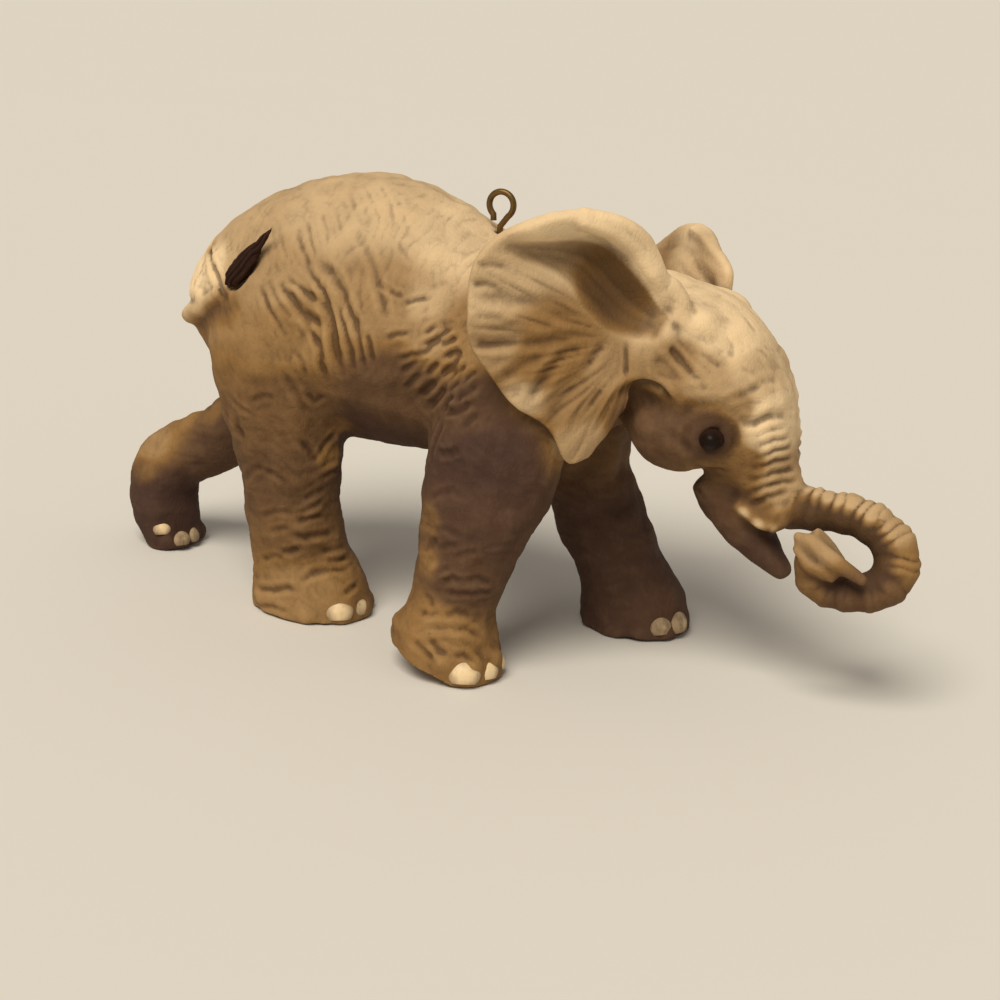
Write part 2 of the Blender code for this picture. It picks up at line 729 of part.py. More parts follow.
def tail_loft(name, grow=0.0):
    rows = smooth_rows(tail_shares, 3)
    mesh = bmesh.new()
    stations = [
        (body_point(x, y, z), r * TAIL_THICKNESS, r * TAIL_THICKNESS) for x, y, z, r in rows
    ]
    loft_along(mesh, stations, TUBE_SIDES, grow, Vector((0, -0.5, 0.8)))
    return plain_object(name, mesh)


def tuft_loft(name, grow=0.0):
    """The hair tuft: a flat leaf that lies on the haunch."""
    start = body_point(*tuft_start_shares)
    way = Vector(tuft_lean).normalized()
    stations = []
    for along, size in smooth_rows(tuft_shares, 2):
        stations.append((start + way * along * TUFT_LENGTH, size * TUFT_WIDTH / 2, size * TUFT_THICKNESS / 2))
    mesh = bmesh.new()
    loft_along(mesh, stations, TUBE_SIDES, grow)
    return plain_object(name, mesh)


def eye_centre(side):
    return skull_point(EYE_X_SHARE, side * EYE_Y_SHARE, EYE_Z_SHARE)


def eye_bead(name, side, grow=0.0):
    """A round glass bead, sunk in its socket so that only its cap shows."""
    mesh = bmesh.new()
    bmesh.ops.create_uvsphere(
        mesh, u_segments=12, v_segments=8, radius=EYE_DIAMETER / 2 + grow,
        matrix=Matrix.Translation(eye_centre(side)),
    )
    return plain_object(name, mesh)


def toenails(shares):
    """Five flattened nails round the front of a foot, one after the other."""
    x, y, z, along, across = shares[-2]
    middle = body_point(x, y, z)
    for degrees in nail_angles:
        mesh = bmesh.new()
        turn = math.radians(degrees)
        out = Vector((
            math.cos(turn) * along * LEG_GIRTH * NAIL_RIM_SHARE,
            math.sin(turn) * across * LEG_GIRTH * NAIL_RIM_SHARE,
            NAIL_LIFT_SHARE * NAIL_HEIGHT,
        ))
        facing = math.atan2(math.sin(turn) / across, math.cos(turn) / along)
        matrix = (
            Matrix.Translation(middle + out)
            @ Matrix.Rotation(facing, 4, "Z")
            @ Matrix.Diagonal((NAIL_DEPTH / 2, NAIL_WIDTH / 2, NAIL_HEIGHT / 2, 1))
        )
        bmesh.ops.create_uvsphere(mesh, u_segments=8, v_segments=5, radius=1, matrix=matrix)
        yield plain_object("nail", mesh)


def hanger_foot():
    """Where the hanger's neck leaves the back."""
    return body_point(HANGER_X_SHARE, 0, HANGER_FOOT_SHARE)


def hanger_path():
    """The wire's line: up the shank, round the drop-shaped loop and back to its neck."""
    foot = hanger_foot()
    radius = (HANGER_LOOP_WIDTH - WIRE_DIAMETER) / 2
    centre = foot + Vector((0, 0, HANGER_NECK + radius))
    points = [foot - Vector((0, 0, HANGER_SHANK_LENGTH)), foot - Vector((0, 0, HANGER_SHANK_LENGTH / 2)), foot]
    opening = math.radians(38)
    first = -math.pi / 2 + opening
    sweep = 2 * math.pi - 2 * opening
    for k in range(HANGER_BEND_STEPS + 1):
        angle = first + sweep * k / HANGER_BEND_STEPS
        points.append(centre + Vector((math.cos(angle), 0, math.sin(angle))) * radius)
    points.append(foot + Vector((-WIRE_DIAMETER / 2 - SEAM_GAP * 2, 0, HANGER_NECK * HANGER_LOOP_FOOT_SHARE)))
    return points


def hanger_piece():
    wire = bpy.data.curves.new("hanger_eye", "CURVE")
    wire.dimensions = "3D"
    wire.bevel_depth = WIRE_DIAMETER / 2
    wire.bevel_resolution = 2
    wire.use_fill_caps = True
    points = hanger_path()
    spline = wire.splines.new("POLY")
    spline.points.add(len(points) - 1)
    for knot, point in zip(spline.points, points):
        knot.co = (*point, 1)
    thing = bpy.data.objects.new("hanger_eye", wire)
    bpy.context.scene.collection.objects.link(thing)
    return thing


def hanger_hole_tool():
    foot = hanger_foot()
    end = foot + Vector((0, 0, HANGER_NECK))
    return rod_tool(foot - Vector((0, 0, HANGER_SHANK_LENGTH)), end, WIRE_DIAMETER, SEAM_GAP)


def ground_tool():
    high = (CUT_OVERRUN * 2, CUT_OVERRUN, 0)
    return box_tool((-CUT_OVERRUN * 2, -CUT_OVERRUN, -CUT_OVERRUN), high)


def raised_heel_tool():
    """Cuts the sole of the stepping front foot, so that it stands on its toe half."""
    edge = Matrix.Translation(body_point(HEEL_EDGE_SHARE, 0, 0)) @ Matrix.Rotation(HEEL_LIFT, 4, "Y")
    return box_tool((-CUT_OVERRUN, -CUT_OVERRUN, -CUT_OVERRUN), (0, CUT_OVERRUN, 0), edge)


def leg_piece(name, shares, nail_material):
    """A leg casting: its share of the body's outline, its domed seat, peg, nails and flat sole."""
    leg = fused(name, (torso_loft, lambda mesh: leg_loft(mesh, shares)), LEG_KEEP_SHARE)
    seat = combine(below_belly_tool(), leg_plug_tool(shares), "UNION")
    combine(leg, seat, "INTERSECT")
    combine(leg, head_seat_tool(SEAM_GAP), "DIFFERENCE")
    combine(leg, leg_peg_tool(shares), "UNION")
    leg.data.materials.clear()
    leg.data.materials.append(finish_material(name))
    for nail in toenails(shares):
        nail.data.materials.append(nail_material)
        combine(leg, nail, "UNION")
    if shares is front_right_shares:
        combine(leg, raised_heel_tool(), "DIFFERENCE")
    return combine(leg, ground_tool(), "DIFFERENCE")


def dress(thing):
    """Shows a finished piece, shaded smooth with its hard edges kept, in its own material."""
    thing.hide_render = False
    if not thing.data.materials:
        thing.data.materials.append(finish_material(thing.name))
    if thing.type == "MESH":
        thing.data.shade_smooth()
        thing.data.set_sharp_from_angle(angle=math.radians(35))


def centre_on_base(things):
    """Moves the whole figure so that its origin is under the middle of its outline box."""
    bpy.context.view_layer.update()
    graph = bpy.context.evaluated_depsgraph_get()
    points = []
    for thing in things:
        shape = thing.evaluated_get(graph).to_mesh()
        points += [thing.matrix_world @ vertex.co for vertex in shape.vertices]
    low = Vector([min(point[i] for point in points) for i in range(3)])
    high = Vector([max(point[i] for point in points) for i in range(3)])
    shift = Vector((-(low.x + high.x) / 2, -(low.y + high.y) / 2, -low.z))
    for thing in things:
        thing.location += shift
    print("moved to the base centre by", [round(value, 6) for value in shift])
    print("outline box", [round(value, 5) for value in high - low])


def head_form(mesh):
    loft_along(mesh, head_stations(head_shares, HEAD_DEPTH, HEAD_WIDTH))
    swellings(mesh)


def jaw_form(mesh):
    loft_along(mesh, head_stations(jaw_shares, JAW_DEPTH, JAW_WIDTH))


def head_and_jaw():
    """The head casting and the lower jaw, which share one outline."""
    head = fused("head", (torso_loft, head_form, jaw_form), HEAD_KEEP_SHARE, smoothing=5)
    jaw = copy_of(head, "lower_jaw")
    combine(head, head_seat_tool(), "INTERSECT")
    combine(head, beyond_trunk_seam_tool(), "DIFFERENCE")
    combine(head, jaw_seat_tool(SEAM_GAP), "DIFFERENCE")
    combine(head, neck_peg_tool(), "UNION")
    combine(head, jaw_peg_tool(SEAM_GAP), "DIFFERENCE")
    combine(head, trunk_peg_tool(SEAM_GAP), "DIFFERENCE")
    combine(jaw, jaw_seat_tool(), "INTERSECT")
    combine(jaw, jaw_peg_tool(), "UNION")
    return head, jaw


def torso_piece():
    """The body casting, with sockets for the neck peg, the legs and their pegs, and the wire."""
    leg_forms = [lambda mesh, shares=shares: leg_loft(mesh, shares) for shares in legs.values()]
    torso = fused("torso", (torso_loft, head_form, *leg_forms), TORSO_KEEP_SHARE)
    combine(torso, head_seat_tool(SEAM_GAP), "DIFFERENCE")
    combine(torso, neck_peg_tool(SEAM_GAP), "DIFFERENCE")
    combine(torso, below_belly_tool(SEAM_GAP), "DIFFERENCE")
    for shares in legs.values():
        combine(torso, leg_plug_tool(shares, SEAM_GAP), "DIFFERENCE")
        combine(torso, leg_peg_tool(shares, SEAM_GAP), "DIFFERENCE")
    combine(torso, hanger_hole_tool(), "DIFFERENCE")
    return torso


def main():
    clear_scene()
    torso = torso_piece()
    head, jaw = head_and_jaw()
    trunk = trunk_piece()
    combine(jaw, copy_of(trunk, "tool", LIP_GAP), "DIFFERENCE")
    nail = finish_material("toenail")
    feet = [leg_piece(name, shares, nail) for name, shares in legs.items()]

    ears = []
    for name, side in (("right_ear", -1), ("left_ear", 1)):
        ear = ear_sheet(name, side)
        for body in (head, torso):
            combine(body, copy_of(ear, "slot", EAR_SLOT_GAP), "DIFFERENCE")
        ears.append(ear)

    eyes = []
    for name, side in (("right_eye", -1), ("left_eye", 1)):
        combine(head, eye_bead("socket", side, SEAM_GAP), "DIFFERENCE")
        eyes.append(eye_bead(name, side))

    tail = tail_loft("tail")
    tuft = tuft_loft("tail_tuft")
    combine(tail, tuft_loft("tool", SEAM_GAP), "DIFFERENCE")
    for body in (torso, feet[0]):
        combine(body, tail_loft("tool", SEAM_GAP), "DIFFERENCE")
        combine(body, tuft_loft("tool", SEAM_GAP), "DIFFERENCE")

    pieces = [torso, head, jaw, trunk, *feet, *ears, *eyes, tail, tuft, hanger_piece()]
    for piece in pieces:
        dress(piece)
    centre_on_base(pieces)


main()
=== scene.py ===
"""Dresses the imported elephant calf: sculpted and painted skin, toenails, eyes, tuft and wire eye."""
import math

import bmesh
import bpy
import numpy as np
from bpy.props import FloatProperty, FloatVectorProperty, PointerProperty
from mathutils import Matrix, Vector
from mathutils.bvhtree import BVHTree


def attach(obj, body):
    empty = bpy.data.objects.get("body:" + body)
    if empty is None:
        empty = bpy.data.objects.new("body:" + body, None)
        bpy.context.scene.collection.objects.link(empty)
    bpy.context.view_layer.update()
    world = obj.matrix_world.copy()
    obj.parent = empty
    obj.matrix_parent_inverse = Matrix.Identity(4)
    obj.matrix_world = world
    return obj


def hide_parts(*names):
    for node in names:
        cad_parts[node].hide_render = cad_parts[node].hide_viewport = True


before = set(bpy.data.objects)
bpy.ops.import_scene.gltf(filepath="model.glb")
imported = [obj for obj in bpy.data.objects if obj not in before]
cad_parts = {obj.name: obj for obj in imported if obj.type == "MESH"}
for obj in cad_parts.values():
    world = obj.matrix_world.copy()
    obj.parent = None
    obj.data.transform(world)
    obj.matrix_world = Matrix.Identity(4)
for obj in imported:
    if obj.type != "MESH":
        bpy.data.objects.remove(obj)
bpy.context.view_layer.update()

bl_info = {
    "name": "Walking elephant calf",
    "version": (1, 0, 0),
    "blender": (4, 5, 0),
    "location": "3D View > Sidebar > Calf",
    "description": "Sculpts and paints the hanging figure of a walking elephant calf",
    "category": "Object",
}

MM = 0.001
# Corners nearer than this are one, in metres
WELD = 1e-6
# The calf is measured in millimetres from under the middle of its body: X ahead, Y to its left, Z up
MIDDLE = np.array((1.994, -1.623, 0.0))
SKIN_NODES = (
    "torso", "head", "lower_jaw", "trunk", "right_ear", "left_ear", "hind_right_leg",
    "hind_left_leg", "front_right_leg", "front_left_leg", "tail",
)


# What a user may change

class HideLook(bpy.types.PropertyGroup):
    grain: FloatProperty(name="Clay grain", description="Size of the skin's facets before smoothing",
                         default=0.28 * MM, min=0.15 * MM, max=1 * MM, subtype="DISTANCE", unit="LENGTH")
    folds: FloatProperty(name="Folds", description="Depth of the cut folds, 1 as measured",
                         default=1.0, min=0, max=2, subtype="FACTOR")
    wrinkles: FloatProperty(name="Wrinkles", description="Depth of the fine wrinkles, 1 as measured",
                            default=1.0, min=0, max=2, subtype="FACTOR")
    # The back's paler paint is partly painted light, and the legs' darker brown partly painted shade
    back: FloatVectorProperty(name="Back", description="Paint on the lit back and brow", size=3,
                              default=(0.68, 0.495, 0.285), min=0, max=1, subtype="COLOR")
    flank: FloatVectorProperty(name="Flank", description="Paint on the sides", size=3,
                               default=(0.258, 0.138, 0.045), min=0, max=1, subtype="COLOR")
    shin: FloatVectorProperty(name="Legs", description="Paint on the legs and under the belly", size=3,
                              default=(0.075, 0.038, 0.024), min=0, max=1, subtype="COLOR")
    wash: FloatVectorProperty(name="Wash", description="Dark wash that lies in the creases", size=3,
                              default=(0.045, 0.020, 0.008), min=0, max=1, subtype="COLOR")
    dry_brush: FloatVectorProperty(name="Dry brush", description="Pale paint dragged over the ridges",
                                   size=3, default=(0.66, 0.45, 0.215), min=0, max=1, subtype="COLOR")


class SmallParts(bpy.types.PropertyGroup):
    nail_width: FloatProperty(name="Toenail width", description="Across one large toenail",
                              default=3.4 * MM, min=1 * MM, max=6 * MM, subtype="DISTANCE", unit="LENGTH")
    nail_colour: FloatVectorProperty(name="Toenails", description="Cream paint of the toenails", size=3,
                                     default=(0.80, 0.60, 0.34), min=0, max=1, subtype="COLOR")
    eye_colour: FloatVectorProperty(name="Eyes", description="Gloss paint of the bead eyes", size=3,
                                    default=(0.011, 0.005, 0.003), min=0, max=1, subtype="COLOR")
    tuft_colour: FloatVectorProperty(name="Tuft", description="Paint of the tail's hair", size=3,
                                     default=(0.020, 0.008, 0.005), min=0, max=1, subtype="COLOR")
    wire: FloatProperty(name="Wire", description="Thickness of the hanging eye's wire",
                        default=0.8 * MM, min=0.3 * MM, max=1.5 * MM, subtype="DISTANCE", unit="LENGTH")
    brass: FloatVectorProperty(name="Brass", description="Aged brass of the hanging eye", size=3,
                               default=(0.22, 0.135, 0.042), min=0, max=1, subtype="COLOR")


class StageLook(bpy.types.PropertyGroup):
    floor: FloatVectorProperty(name="Floor", description="Colour of the floor", size=3,
                               default=(0.70, 0.665, 0.60), min=0, max=1, subtype="COLOR")
    bearing: FloatProperty(name="Bearing", description="The camera's turn from the calf's right side",
                           default=math.radians(22), subtype="ANGLE", unit="ROTATION")
    height: FloatProperty(name="Elevation", description="The camera's angle above the floor",
                          default=math.radians(18), subtype="ANGLE", unit="ROTATION")
    roll: FloatProperty(name="Roll", description="The camera's tilt about its line of sight",
                        default=math.radians(4), subtype="ANGLE", unit="ROTATION")
    distance: FloatProperty(name="Distance", description="From the camera to the calf's middle",
                            default=0.280, min=0.1, subtype="DISTANCE", unit="LENGTH")
    key: FloatProperty(name="Key light", description="Strength of the wide lamp above", default=2.75, min=0)


# Small tools

def pick(*things):
    """Selects these objects and nothing else, the last one active."""
    bpy.ops.object.select_all(action="DESELECT")
    for thing in things:
        thing.select_set(True)
    bpy.context.view_layer.objects.active = things[-1]


def apply_steps(thing):
    """Applies an object's modifiers in their order."""
    pick(thing)
    for step in list(thing.modifiers):
        bpy.ops.object.modifier_apply(modifier=step.name)


def edit_whole(thing, edit, **settings):
    """Runs one edit-mode operator on the whole of a mesh."""
    pick(thing)
    bpy.ops.object.mode_set(mode="EDIT")
    bpy.ops.mesh.select_all(action="SELECT")
    edit(**settings)
    bpy.ops.object.mode_set(mode="OBJECT")


def node_copy(node, name):
    """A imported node's solid as an object of its own, with its corners welded."""
    solid = bpy.data.objects.new(name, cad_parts[node].data.copy())
    bpy.context.scene.collection.objects.link(solid)
    edit_whole(solid, bpy.ops.mesh.remove_doubles, threshold=WELD)
    return solid


def grow(thing, height):
    """A step that moves every face out by a height."""
    swell = thing.modifiers.new("swell", "DISPLACE")
    swell.strength = height
    swell.mid_level = 0


def knead(thing, grain, rounds):
    """Two steps that make one clay form of all that lies in a mesh, and smooth it."""
    remesh = thing.modifiers.new("grain", "REMESH")
    remesh.mode = "VOXEL"
    remesh.voxel_size = grain
    smooth = thing.modifiers.new("smooth", "SMOOTH")
    smooth.factor = 0.5
    smooth.iterations = rounds


def within(value):
    """A value kept between 0 and 1."""
    return max(0, min(1, value))


def place(points):
    """Millimetres from the calf's middle to metres in the frame."""
    return (np.asarray(points, float) + MIDDLE) * MM


def spot(x, y, z):
    return Vector(place((x, y, z)))


def settle(thing, material, nodes=(), flat_angle=None):
    """Gives a finished piece its material, smooth faces and its body, and hides the nodes it stands for."""
    thing.data.materials.clear()
    thing.data.materials.append(material)
    pick(thing)
    if flat_angle is None:
        bpy.ops.object.shade_smooth(keep_sharp_edges=True)
    else:
        bpy.ops.object.shade_smooth_by_angle(angle=flat_angle)
    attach(thing, "root")
    if nodes:
        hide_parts(*nodes)
    return thing


# Paint

class Flow:
    """A shader socket that can stand in sums: each operator adds a Math node."""

    def __init__(self, paint, socket):
        self.paint = paint
        self.socket = socket

    def sum_with(self, operation, first, second):
        return self.paint.node("ShaderNodeMath", {"operation": operation}, {0: first, 1: second})

    def __add__(self, other):
        return self.sum_with("ADD", self, other)

    def __radd__(self, other):
        return self.sum_with("ADD", other, self)

    def __sub__(self, other):
        return self.sum_with("SUBTRACT", self, other)

    def __rsub__(self, other):
        return self.sum_with("SUBTRACT", other, self)

    def __mul__(self, other):
        return self.sum_with("MULTIPLY", self, other)

    def __rmul__(self, other):
        return self.sum_with("MULTIPLY", other, self)

    def held(self):
        """The value kept between 0 and 1."""
        return self.paint.node("ShaderNodeClamp", {}, {0: self})


class Paint:
    """A material on one Principled shader, with its nodes made in one place."""

    def __init__(self, name):
        self.material = bpy.data.materials.new(name)
        self.material.use_nodes = True
        self.tree = self.material.node_tree
        self.shader = self.tree.nodes["Principled BSDF"]

    def put(self, socket, value):
        if isinstance(value, Flow):
            self.tree.links.new(value.socket, socket)
        else:
            socket.default_value = value

    def node(self, kind, settings=None, sockets=None, output=0):
        """Any node: its type, its settings, the values or links of its sockets, and which output is used."""
        made = self.tree.nodes.new(kind)
        for name, value in (settings or {}).items():
            setattr(made, name, value)
        for name, value in (sockets or {}).items():
            self.put(made.inputs[name], value)
        return Flow(self, made.outputs[output])

    def mix(self, share, first, second, blend="MIX"):
        """Two colours mixed by a share."""
        settings = {"data_type": "RGBA", "blend_type": blend, "clamp_factor": True}
        return self.node("ShaderNodeMix", settings, {0: share, 6: first, 7: second}, 2)

    def where(self):
        """The place on the object, in metres."""
        return self.node("ShaderNodeTexCoord", output="Object")

    def noise(self, where, scale, detail, roughness=0.5):
        """Cloudy noise, as many clouds to the metre as its scale says."""
        sockets = {"Vector": where, "Scale": scale, "Detail": detail, "Roughness": roughness}
        return self.node("ShaderNodeTexNoise", {}, sockets)

    def painted(self, name):
        """A value that was written on the mesh."""
        return self.node("ShaderNodeAttribute", {"attribute_name": name}, output="Fac")

    def bump(self, height, strength, distance):
        sockets = {"Height": height, "Strength": strength, "Distance": distance}
        return self.node("ShaderNodeBump", {}, sockets)

    def finish(self, **sockets):
        for name, value in sockets.items():
            self.put(self.shader.inputs[name.replace("_", " ").title().replace("Ior", "IOR")], value)
        return self.material


def tint(colour):
    return (*colour, 1.0)


def stretched(paint, scale):
    """Object coordinates stretched along each axis."""
    return paint.node("ShaderNodeMapping", {}, {"Vector": paint.where(), "Scale": scale})


def hide_paint(look):
    """Matte paint: thinned brown in the creases, pale dry brushing on the ridges, fine cracked grain."""
    paint = Paint("painted_hide")
    ground = paint.node("ShaderNodeAttribute", {"attribute_name": "paint"}, output="Color")
    relief, hollow = paint.painted("relief"), paint.painted("hollow")
    where = paint.where()
    cloud = paint.noise(where, 190.0, 4.0, 0.6)
    speck = paint.noise(where, 1500.0, 3.0, 0.7)
    hatch = paint.noise(stretched(paint, (1900.0, 1900.0, 420.0)), 1.0, 3.0, 0.6)
    crackle = paint.node("ShaderNodeTexVoronoi", {"feature": "DISTANCE_TO_EDGE"}, {
        "Vector": stretched(paint, (1.25, 1.25, 0.8)), "Scale": 1150.0, "Randomness": 1.0})
    crack = paint.node("ShaderNodeMapRange", {"interpolation_type": "SMOOTHSTEP"}, {
        "Value": crackle, "From Min": 0.0, "From Max": 0.16, "To Min": 1.0, "To Max": 0.0})
    thinned = paint.mix(0.17, tint(look.wash), ground)
    mottled = paint.mix(((cloud - 0.42) * 1.6).held() * 0.55, ground, thinned)
    sunk = (0.0 - relief) * 1.25 + (0.0 - hollow) * 0.30
    deep = (sunk + (speck - 0.5) * 0.30 + crack * 0.08 - 0.02).held()
    washed = paint.mix(deep * 0.8, mottled, thinned)
    high = (relief * 0.90 + hollow * 0.25 + (hatch - 0.55) * 0.9).held()
    lifted = paint.mix(1.0, ground, tint((1.12, 1.12, 1.12)), "MULTIPLY")
    brushed = paint.mix((ground * 0.6 + 0.04).held(), lifted, tint(look.dry_brush))
    dragged = paint.mix(high * 0.75, washed, brushed)
    bump = paint.bump(speck * 0.45 + hatch * 0.5 - crack * 0.35, 0.55, 0.00011)
    return paint.finish(base_color=dragged, roughness=0.80 - deep * 0.22, normal=bump,
                        specular_ior_level=0.17)


# The skin is sculpted as clay

# Lengths are millimetres, and places are counted from the calf's middle

# The castings grow this much before they are joined, and shrink again when smooth
SWELL = 0.25
POLISH_ROUNDS = 22
# How deep the cap lies where a casting was parted from the next
CAP_DEPTH = 0.7
# The marks that tell the castings apart while the skin is in one piece
MARK = "mark_"

# Each ear: its casting, its root, how far it is spread and tipped in degrees, and its side
EARS = (
    ("right_ear", (21.52, -9.06, 46.98), 35, 0, 1),
    ("left_ear", (24.44, 9.06, 42.78), -44, -12, -1),
)
# A share of an ear counts as whole from two thirds up
EAR_FILLED = 1.5

# The eyes: middle, radius, height against width, and the way they look: ahead, aside and up
EYES = ((30.2, -8.4, 34.15), (30.2, 8.4, 34.15))
EYE_RADIUS = 1.68
EYE_HEIGHT = 0.84
EYE_WAY = (0.30, 0.95, 0.06)
# The raised lid, the groove round it, and the shadow in the socket: radius and breadth, and how strong
LID = (2.1, 0.45)
LID_HEIGHT = 0.20
GROOVE = (3.1, 0.7)
GROOVE_DEPTH = 0.15
EYE_SHADOW = (1.6, 1.0)
EYE_SHADOW_TONE = 0.6
# The lid's edge, a radius and a breadth, is drawn in over the bead, most above and below it
LID_EDGE = (1.75, 0.5)
LID_REACH = 3.0
LID_FRONT = 0.2
LID_CORE = 0.3
LID_CLOSED = 0.18
LID_DROOP = 0.30

# Soft folds laid on before the clay is smoothed: points and half thickness
LAID_FOLDS = (
    ((14.6, -16.2, 60.2, 1.3), (16.9, -12.9, 58.9, 1.6), (19.1, -9.7, 56.6, 2.0), (21.1, -8.7, 53.0, 1.9),
        (22.5, -8.5, 50.3, 1.2)),
    ((34.1, -2.7, 24.2, 0.8), (34.6, -0.4, 22.8, 0.9), (35.9, 0.3, 22.1, 0.9), (38.1, -2.4, 23.9, 0.7)),
    ((33.4, -7.5, 37.7, 0.6), (34.7, -6.5, 37.6, 0.7), (35.7, -5.0, 38.4, 0.7), (36.9, -2.9, 38.5, 0.5)),
    ((18.3, -12.2, 38.9, 0.7), (19.1, -11.2, 40.4, 0.9), (21.1, -9.4, 41.1, 1.0), (23.7, -9.8, 40.8, 0.9),
        (25.6, -9.8, 39.1, 0.7)),
    ((29.5, -7.3, 34.1, 1.5), (30.3, -7.2, 34.2, 1.55), (31.5, -6.9, 34.6, 1.6)),
    ((-2.2, -20.3, 6.2, 0.6), (0.3, -20.6, 6.7, 0.8), (2.6, -19.9, 7.1, 0.8), (4.4, -18.8, 6.7, 0.8),
        (5.8, -17.6, 5.5, 0.6)),
    ((-4.9, -17.3, 6.0, 1.6), (-4.3, -18.6, 5.5, 1.6)),
    ((-3.4, -19.8, 6.2, 0.6), (-0.8, -20.9, 5.4, 0.7), (1.0, -21.2, 4.1, 0.7), (2.3, -21.7, 3.3, 0.6)),
    ((-25.3, -11.6, 10.9, 0.8), (-24.0, -11.2, 10.9, 0.8)),
    ((-23.0, -11.5, 15.6, 0.4), (-21.8, -10.4, 16.6, 0.5), (-20.8, -8.6, 17.5, 0.4)),
    ((-23.4, -11.1, 10.7, 0.5), (-21.7, -9.7, 11.2, 0.6), (-20.4, -7.2, 11.2, 0.6)),
    ((-20.1, -9.2, 26.0, 0.8), (-20.7, -7.8, 23.8, 1.0), (-20.6, -8.1, 21.9, 0.8)),
    ((-21.4, -11.1, 22.6, 0.5), (-20.9, -10.5, 24.4, 0.6), (-20.2, -9.5, 25.7, 0.6)),
    ((-32.6, -13.8, 27.3, 0.8), (-32.1, -13.5, 25.7, 1.0), (-32.0, -13.3, 24.3, 0.8)),
    ((-30.5, -11.6, 17.5, 1.0), (-31.3, -10.5, 14.9, 1.0)),
    ((-29.6, -9.7, 2.3, 1.1), (-28.9, -10.4, 1.5, 1.1)),
    ((18.1, -5.5, 35.2, 1.4), (20.7, -7.1, 33.4, 1.6), (21.4, -7.9, 32.6, 1.3)),
    ((27.3, -2.6, 26.1, 0.7), (28.4, -3.5, 25.4, 0.6)),
    ((20.6, -10.8, 44.8, 0.8), (20.7, -10.9, 43.0, 0.9), (20.8, -10.9, 41.2, 0.8)),
    ((22.0, -10.1, 45.4, 1.2), (22.2, -10.3, 43.4, 1.3), (22.4, -10.3, 41.5, 1.1)),
    ((23.2, -9.0, 47.4, 1.2), (23.6, -9.5, 46.0, 1.2), (23.8, -9.8, 44.2, 1.1)),
    ((41.8, -6.6, 23.4, 0.7), (43.6, -7.0, 23.2, 1.0), (46.0, -7.2, 21.8, 1.1), (48.4, -7.2, 20.6, 1.0),
        (50.4, -7.0, 19.6, 0.8)),
    ((42.0, -6.8, 21.8, 0.7), (43.6, -7.2, 20.2, 0.8), (46.6, -7.1, 19.2, 0.8)),
    ((23.0, -7.6, 51.6, 1.5), (24.0, -7.2, 50.0, 1.7), (24.6, -7.6, 48.4, 1.4)),
    ((33.4, -3.6, 24.9, 0.9), (34.8, -3.4, 23.9, 1.0), (36.2, -3.2, 23.2, 1.1), (37.8, -3.2, 23.1, 1.1),
        (39.0, -3.2, 23.7, 0.9)),
    ((33.6, -3.2, 25.6, 0.9), (35.2, -3.0, 25.0, 1.1), (36.8, -3.0, 24.6, 1.2), (38.4, -3.0, 24.8, 1.1)),
    ((-43.0, -3.0, 44.5, 1.0), (-41.5, -6.5, 44.0, 1.1), (-40.5, -9.0, 43.0, 1.1)),
    ((-43.8, -4.5, 42.0, 1.0), (-41.8, -7.5, 41.6, 1.1), (-39.5, -10.8, 41.8, 1.0)),
    ((-43.6, -6.5, 40.0, 0.9), (-42.0, -9.3, 39.2, 0.9), (-40.0, -11.2, 39.8, 0.8)),
    ((24.9, 9.2, 48.6, 0.7), (24.2, 9.5, 50.4, 0.9), (22.6, 10.9, 52.2, 1.0), (20.4, 13.4, 53.6, 0.9),
        (17.2, 17.2, 54.0, 0.7)),
)
# A laid fold is a row of balls this far apart
LAID_STEP = 0.35
# Head folds that are laid on the left side as well
MIRRORED_FOLDS = (2, 3, 4, 16)

# Broad forms pressed in (minus) or drawn out: middle, reach and push, and the same on the left side
BROAD_FORMS = (
    ((21.6, -9.6, 38.2), 1.9, -0.9),
    ((23.8, -9.7, 38.0), 1.6, -0.5),
    ((22.6, -9.4, 34.6), 2.0, 0.5),
    ((27.6, -6.6, 47.2), 2.0, 0.35),
    ((31.0, -4.2, 46.9), 2.0, 0.30),
    ((29.2, -2.0, 49.0), 1.8, 0.25),
    ((33.6, -6.4, 42.0), 1.6, 0.30),
    ((30.2, -7.8, 43.0), 1.6, -0.35),
    ((27.9, -9.8, 40.6), 1.5, 0.35),
    ((27.4, -9.4, 31.6), 2.2, 0.30),
    ((-20.0, -15.2, 42.5), 3.6, -0.45),
    ((-27.0, -15.2, 41.0), 5.0, 0.35),
    ((-11.5, -14.6, 42.0), 4.0, 0.30),
    ((-6.0, -14.8, 36.0), 3.2, -0.50),
    ((0.0, -13.6, 43.0), 4.5, 0.40),
    ((8.0, -13.0, 42.0), 4.0, -0.40),
    ((-36.5, -6.5, 45.0), 3.0, -0.35),
    ((-17.0, -12.0, 29.0), 4.0, -0.50),
)

# Creases of the tail where it folds up over the haunch: width, depth (minus is a valley) and points
TAIL_FOLDS = (
    (0.40, -0.38, ((-41.9, -5.0, 48.2), (-41.1, -6.6, 47.0), (-38.8, -9.5, 46.2))),
    (0.50, -0.50, ((-38.8, -9.5, 46.2), (-37.2, -11.1, 45.0), (-35.8, -12.5, 44.1), (-34.3, -13.4, 42.6))),
)

# Places smoothed once more, where two castings meet in a ledge: middle and reach
SMOOTHED = (
    ((14.0, 11.0, 22.5), 4.0), ((13.5, 8.0, 26.5), 3.5), ((23.9, -10.0, 42.5), 1.2),
)
SOFT_ROUNDS = 80
SMOOTHED_CORE = 1.8

